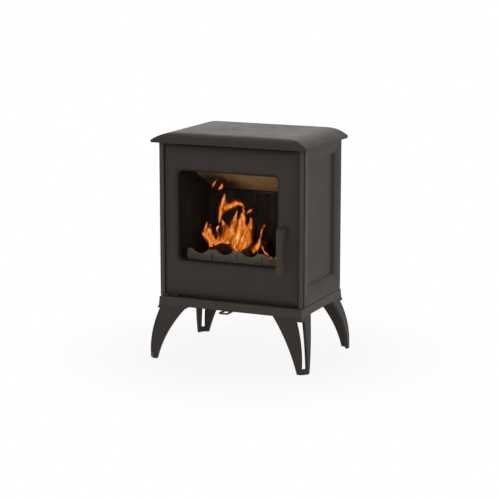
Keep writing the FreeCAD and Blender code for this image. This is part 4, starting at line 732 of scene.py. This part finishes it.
def split_log(name, length, radius, across, back, turn_degrees):
    """A round log with one flat split face, burnt uneven, lying on the grate."""
    start_piece()
    bpy.ops.mesh.primitive_cylinder_add(vertices=20, radius=radius, depth=length,
                                        rotation=(0, QUARTER_TURN, 0))
    log = bpy.context.object
    bpy.ops.object.transform_apply(location=True, rotation=True, scale=True)
    bpy.ops.object.mode_set(mode="EDIT")
    bpy.ops.mesh.select_all(action="SELECT")
    bpy.ops.mesh.bisect(plane_co=(0, 0, -radius * SPLIT_SHARE), plane_no=SPLIT_SLOPE, use_fill=True,
                        clear_outer=True)
    bpy.ops.mesh.select_all(action="SELECT")
    bpy.ops.mesh.bevel(offset=radius * BURNT_EDGE_SHARE, segments=2, affect="EDGES", clamp_overlap=True)
    bpy.ops.object.mode_set(mode="OBJECT")
    shape_with(log, "REMESH", mode="VOXEL", voxel_size=0.004)
    shape_with(log, "DISPLACE", texture=knots, texture_coords="LOCAL", strength=radius * KNOT_SHARE,
               mid_level=0.55)
    lowest = min(corner[2] for corner in log.bound_box)
    log.rotation_euler = (0, 0, math.radians(turn_degrees))
    log.location = (across, back, grate_top - lowest)
    settle(log, name, charred_wood, "stove")


split_log("left_log", length=0.13, radius=0.026, across=-0.083, back=-0.012, turn_degrees=78)
split_log("right_log", length=0.12, radius=0.022, across=-0.004, back=-0.020, turn_degrees=104)
split_log("rear_log", length=0.15, radius=0.027, across=-0.056, back=0.082, turn_degrees=4)

# %% [markdown]
# ## Flames
# Flames are hot gas, so they have no surface, only light that is yellow where it is thick and orange where
# it thins out. Each tongue is drawn like a plant stem: a circle that is extruded, turned, moved and
# narrowed in steps to a point. Three nested layers of tongues, a faint red haze, an orange body and a yellow
# core, give the soft edge from every side, and a Displace modifier makes them lick. Smoke simulation would
# be truer, but a mesh part can't carry it.

# %% Flame finishes
FLAME_STREAK_MM = 14
RISING_STRETCH = (1.0, 1.0, 0.4)


def flame_finish(name, deep, bright, least_cover, most_cover, strength):
    """Glowing gas between two colours, see-through in streaks that rise."""
    material, tree = new_material(name)
    place = add_node(tree, "ShaderNodeTexCoord").outputs["Object"]
    rising = add_node(tree, "ShaderNodeMapping", {"Vector": place, "Scale": RISING_STRETCH})
    streaks = add_node(tree, "ShaderNodeTexNoise", {
        "Vector": rising.outputs["Vector"], "Scale": per_mm(FLAME_STREAK_MM),
        "Detail": 3.0, "Distortion": 0.8,
    })
    spread = add_node(tree, "ShaderNodeMapRange", {
        "Value": streaks.outputs["Fac"], "From Min": 0.4, "From Max": 0.6,
    })
    tint = add_node(tree, "ShaderNodeMix", {
        "Factor": spread.outputs["Result"], "A": srgb(deep), "B": srgb(bright),
    }, data_type="RGBA")
    cover = add_node(tree, "ShaderNodeMapRange", {
        "Value": spread.outputs["Result"], "To Min": least_cover, "To Max": most_cover,
    })
    gas = add_node(tree, "ShaderNodeBsdfPrincipled", {
        "Base Color": (0, 0, 0, 1), "Roughness": 1.0, "Specular IOR Level": 0.0,
        "Alpha": cover.outputs["Result"],
        "Emission Color": tint.outputs["Result"], "Emission Strength": strength,
    })
    add_node(tree, "ShaderNodeOutputMaterial", {"Surface": gas.outputs["BSDF"]})
    print(name, "glows at", strength)
    return material


haze_gas = flame_finish("red_flame_haze", "#4a1204", "#b0420f",
                        least_cover=0.0, most_cover=0.5, strength=0.8)
body_gas = flame_finish("orange_flame", "#a8360a", "#fa902c",
                        least_cover=0.05, most_cover=0.95, strength=1.25)
core_gas = flame_finish("yellow_flame", "#f89530", "#ffdc90",
                        least_cover=0.0, most_cover=0.95, strength=1.2)

# %% Tongues of flame
# Each tongue has its depth and then its steps: place across, height and half width, in millimetres.
TONGUES = [
    (0, [
        (-107, 397, 1.2), (-105, 413, 5), (-101, 432, 9),
        (-94, 451, 10), (-90, 469, 6), (-89, 483, 3), (-89, 495, 0),
    ]),
    (-4, [
        (-92, 446, 5), (-81, 450, 8), (-67, 454, 8), (-52, 460, 9),
        (-37, 465, 7), (-26, 461, 5), (-24, 452, 2), (-28, 443, 0),
    ]),
    (12, [
        (-113, 313, 4), (-101, 333, 9), (-90, 353, 12),
        (-86, 372, 11), (-95, 390, 8), (-101, 402, 3), (-103, 411, 0),
    ]),
    (4, [
        (-76, 321, 12), (-79, 343, 16), (-67, 368, 16),
        (-56, 391, 12), (-59, 411, 8), (-50, 432, 4), (-45, 451, 0),
    ]),
    (-6, [
        (-31, 308, 8), (-22, 330, 14), (-14, 356, 15), (-16, 381, 13),
        (-28, 402, 9), (-24, 421, 6), (-26, 436, 3), (-17, 449, 0),
    ]),
    (18, [(-32, 310, 9), (-21, 335, 11), (-18, 361, 10), (-13, 386, 8), (-10, 405, 5), (-8, 424, 0)]),
    (-16, [
        (-43, 315, 10), (-48, 336, 14), (-40, 359, 14),
        (-28, 382, 10), (-32, 402, 6), (-27, 419, 3), (-20, 434, 0),
    ]),
    (-26, [(-132, 356, 7), (-120, 346, 9), (-105, 340, 10), (-89, 343, 8), (-76, 353, 5), (-67, 366, 0)]),
    (-22, [
        (-39, 316, 4), (-29, 336, 7), (-20, 357, 7),
        (-10, 378, 6), (0, 398, 5), (7, 415, 2), (9, 431, 0),
    ]),
    (-31, [(-112, 343, 5), (-119, 360, 9), (-128, 376, 9), (-126, 390, 5), (-121, 403, 0)]),
    (-10, [(-12, 435, 2), (-2, 443, 3), (6, 448, 2), (11, 456, 0)]),
    (-30, [
        (-122, 317, 2), (-121, 333, 5), (-123, 347, 8), (-131, 360, 10),
        (-139, 373, 10), (-138, 388, 6), (-134, 400, 3), (-133, 410, 0),
    ]),
    (-28, [(-132, 353, 6), (-144, 363, 7), (-152, 370, 3), (-157, 374, 0)]),
    (-34, [
        (-102, 323, 2), (-103, 337, 5), (-99, 351, 7), (-91, 363, 8),
        (-97, 375, 6), (-103, 383, 4), (-96, 391, 3), (-88, 399, 0),
    ]),
    (-12, [
        (2, 312, 7), (14, 324, 9), (26, 334, 8), (33, 349, 6),
        (38, 368, 4), (40, 387, 2), (48, 401, 2), (54, 410, 0),
    ]),
    (-60, [(64, 349, 1.2), (67, 338, 3), (75, 328, 5), (86, 318, 6), (96, 313, 4), (101, 312, 0)]),
    (-60, [(104, 315, 1.2), (109, 316, 3), (114, 322, 0)]),
    (10, [(-134, 503, 1.2), (-132, 512, 5), (-126, 522, 5), (-121, 529, 2), (-116, 535, 0)]),
    (10, [(-121, 498, 0.9), (-113, 502, 5), (-105, 507, 5), (-102, 515, 2), (-102, 521, 0)]),
    (10, [(-92, 540, 0.9), (-85, 537, 2), (-78, 531, 2), (-73, 525, 0)]),
]
FLAME_DEPTH_SHARE = 0.8


def draw_tongue(depth_mm, steps, width_share):
    """Extrude a circle from step to step, and close it to a point at the last one."""
    stations = [
        (Vector((x, depth_mm, z)) / MM_PER_METRE, width * width_share / MM_PER_METRE)
        for x, z, width in steps
    ]
    place, width = stations[0]
    lean = 0.0
    start_piece()
    bpy.ops.mesh.primitive_circle_add(vertices=10, radius=width, fill_type="NGON", location=place)
    tongue = bpy.context.object
    bpy.ops.object.transform_apply(location=True, rotation=True, scale=True)
    bpy.ops.object.mode_set(mode="EDIT")
    bpy.ops.mesh.select_all(action="SELECT")
    bpy.ops.transform.resize(value=(1, FLAME_DEPTH_SHARE, 1), center_override=place)
    for next_place, next_width in stations[1:]:
        step = next_place - place
        next_lean = math.atan2(step.x, step.z)
        # Without a window the operator turns the other way, so the difference is taken backwards
        bpy.ops.transform.rotate(value=lean - next_lean, orient_axis="Y", center_override=place)
        bpy.ops.mesh.extrude_region_move(TRANSFORM_OT_translate={"value": step})
        if next_width:
            bpy.ops.transform.resize(value=(next_width / width,) * 3, center_override=next_place)
        else:
            bpy.ops.mesh.merge(type="CENTER")
        place, width, lean = next_place, next_width, next_lean
    bpy.ops.mesh.select_all(action="SELECT")
    bpy.ops.mesh.normals_make_consistent(inside=False)
    bpy.ops.object.mode_set(mode="OBJECT")
    return tongue


print("tongues of flame:", len(TONGUES))

# %% Three layers of flame
LICK_DEPTH = 0.01
licks = bpy.data.textures.new("flame_licks", "CLOUDS")
licks.noise_scale = 0.03


def flame_layer(name, width_share, material):
    """All tongues at one share of their width, joined, smoothed and made to lick."""
    tongues = [draw_tongue(depth_mm, steps, width_share) for depth_mm, steps in TONGUES]
    start_piece()
    for tongue in tongues:
        tongue.select_set(True)
    bpy.context.view_layer.objects.active = tongues[0]
    bpy.ops.object.join()
    layer = bpy.context.object
    shape_with(layer, "SUBSURF", levels=2, render_levels=2)
    shape_with(layer, "DISPLACE", texture=licks, texture_coords="LOCAL", strength=LICK_DEPTH * width_share,
               mid_level=0.5)
    settle(layer, name, material, "stove", crease_degrees=180)


flame_layer("flame_haze", width_share=1.5, material=haze_gas)
flame_layer("flame_body", width_share=0.95, material=body_gas)
flame_layer("flame_core", width_share=0.45, material=core_gas)

# %% [markdown]
# ## Floor and room
# The picture is a cut-out on white, so the floor and the world are white to the camera and to reflections,
# and the floor keeps a soft shadow near the feet. More light would make a background white too, but it would
# bleach the stove, so the Light Path node does it. The light that falls on the stove comes from a room whose
# walls are brighter than its ceiling, and brighter in front of the stove than behind it.

# %% Floor
FLOOR_SIZE = 60.0
SHADOW_REACH = (0.3, 0.7)
# Shares of plain white near the stove and far away
FLOOR_WHITE_SHARES = (0.9, 1.0)
start_piece()
bpy.ops.mesh.primitive_plane_add(size=FLOOR_SIZE)
floor = bpy.context.object
floor.name = "floor"
floor_white, tree = new_material("white_floor")
rays = add_node(tree, "ShaderNodeLightPath")
matt = add_node(tree, "ShaderNodeBsdfDiffuse", {"Color": srgb("#f4f4f4")})
white = add_node(tree, "ShaderNodeEmission", {"Color": (1, 1, 1, 1), "Strength": 1.0})
place = add_node(tree, "ShaderNodeTexCoord").outputs["Object"]
from_stove = add_node(tree, "ShaderNodeVectorMath", {0: place}, operation="LENGTH")
far = add_node(tree, "ShaderNodeMapRange", {
    "Value": from_stove.outputs["Value"], "From Min": SHADOW_REACH[0], "From Max": SHADOW_REACH[1],
    "To Min": FLOOR_WHITE_SHARES[0], "To Max": FLOOR_WHITE_SHARES[1],
})
mirrored = add_node(tree, "ShaderNodeMath", {
    0: rays.outputs["Is Glossy Ray"], 1: rays.outputs["Is Transmission Ray"],
}, operation="MAXIMUM")
looked_at = add_node(tree, "ShaderNodeMath", {
    0: rays.outputs["Is Camera Ray"], 1: mirrored.outputs["Value"],
}, operation="MAXIMUM")
seen = add_node(tree, "ShaderNodeMath", {
    0: looked_at.outputs["Value"], 1: far.outputs["Result"],
}, operation="MULTIPLY")
ground = add_node(tree, "ShaderNodeMixShader", {
    "Fac": seen.outputs["Value"], 1: matt.outputs["BSDF"], 2: white.outputs["Emission"],
})
add_node(tree, "ShaderNodeOutputMaterial", {"Surface": ground.outputs["Shader"]})
floor.data.materials.append(floor_white)
print("floor of", FLOOR_SIZE, "m")

# %% Room
# Strength of the room's light at eye level and overhead
ROOM_LIGHT = (0.95, 0.22)
OVERHEAD = 0.8
# Shares of it in front of the stove and behind it
FRONT_LIGHT_SHARES = (1.25, 0.75)
world = bpy.data.worlds.new("studio")
bpy.context.scene.world = world
world.use_nodes = True
tree = world.node_tree
tree.nodes.clear()
rays = add_node(tree, "ShaderNodeLightPath")
mirrored = add_node(tree, "ShaderNodeMath", {
    0: rays.outputs["Is Glossy Ray"], 1: rays.outputs["Is Transmission Ray"],
}, operation="MAXIMUM")
looked_at = add_node(tree, "ShaderNodeMath", {
    0: rays.outputs["Is Camera Ray"], 1: mirrored.outputs["Value"],
}, operation="MAXIMUM")
direction = add_node(tree, "ShaderNodeTexCoord").outputs["Generated"]
way = add_node(tree, "ShaderNodeSeparateXYZ", {"Vector": direction})
dimmed = add_node(tree, "ShaderNodeMapRange", {
    "Value": way.outputs["Z"], "From Min": 0.0, "From Max": OVERHEAD,
    "To Min": ROOM_LIGHT[0], "To Max": ROOM_LIGHT[1],
})
ahead = add_node(tree, "ShaderNodeMapRange", {
    "Value": way.outputs["Y"], "From Min": -1.0, "From Max": 1.0,
    "To Min": FRONT_LIGHT_SHARES[0], "To Max": FRONT_LIGHT_SHARES[1],
})
strength = add_node(tree, "ShaderNodeMath", {
    0: dimmed.outputs["Result"], 1: ahead.outputs["Result"],
}, operation="MULTIPLY")
room = add_node(tree, "ShaderNodeBackground", {
    "Color": (1, 1, 1, 1), "Strength": strength.outputs["Value"],
})
backdrop = add_node(tree, "ShaderNodeBackground", {"Color": (1, 1, 1, 1), "Strength": 1.0})
sky = add_node(tree, "ShaderNodeMixShader", {
    "Fac": looked_at.outputs["Value"], 1: room.outputs["Background"], 2: backdrop.outputs["Background"],
})
add_node(tree, "ShaderNodeOutputWorld", {"Surface": sky.outputs["Shader"]})
print("room light:", ROOM_LIGHT)


# %% [markdown]
# ## Lamps and camera
# The top is the stove's brightest face and the right side comes next, while the room lights the front. So a
# wide softbox hangs high behind the stove, and a weaker one stands to its right. Sun lamps would do too, but
# their hard shadows wouldn't suit a studio. The camera stands far off with a long lens, which keeps the
# uprights nearly parallel, and looks down a little.

# %% Lamps
def softbox(name, place, aim, size, power):
    """A square area lamp that faces a point."""
    bpy.ops.object.light_add(type="AREA", location=place)
    lamp = bpy.context.object
    lamp.name = name
    lamp.data.size = size
    lamp.data.energy = power
    lamp.rotation_euler = (Vector(aim) - Vector(place)).to_track_quat("-Z", "Y").to_euler()
    print(name, "at", place)


STOVE_MIDDLE = (0.0, 0.0, 0.35)
softbox("back_softbox", (-1.2, 2.6, 2.4), STOVE_MIDDLE, size=2.0, power=19)
softbox("right_softbox", (3.2, 1.0, 1.3), STOVE_MIDDLE, size=1.6, power=2)

# %% Camera
CAMERA_PLACE = (2.0934, -4.6959, 1.3587)
CAMERA_AIM = (-0.0034, 0.0, 0.3217)
CAMERA_LENS = 123.38
bpy.ops.object.camera_add(location=CAMERA_PLACE)
camera = bpy.context.object
camera.rotation_euler = (Vector(CAMERA_AIM) - Vector(CAMERA_PLACE)).to_track_quat("-Z", "Y").to_euler()
camera.data.sensor_width = 36.0
camera.data.lens = CAMERA_LENS
bpy.context.scene.camera = camera
bpy.context.scene.view_settings.view_transform = "Standard"
print("camera lens:", CAMERA_LENS, "mm")
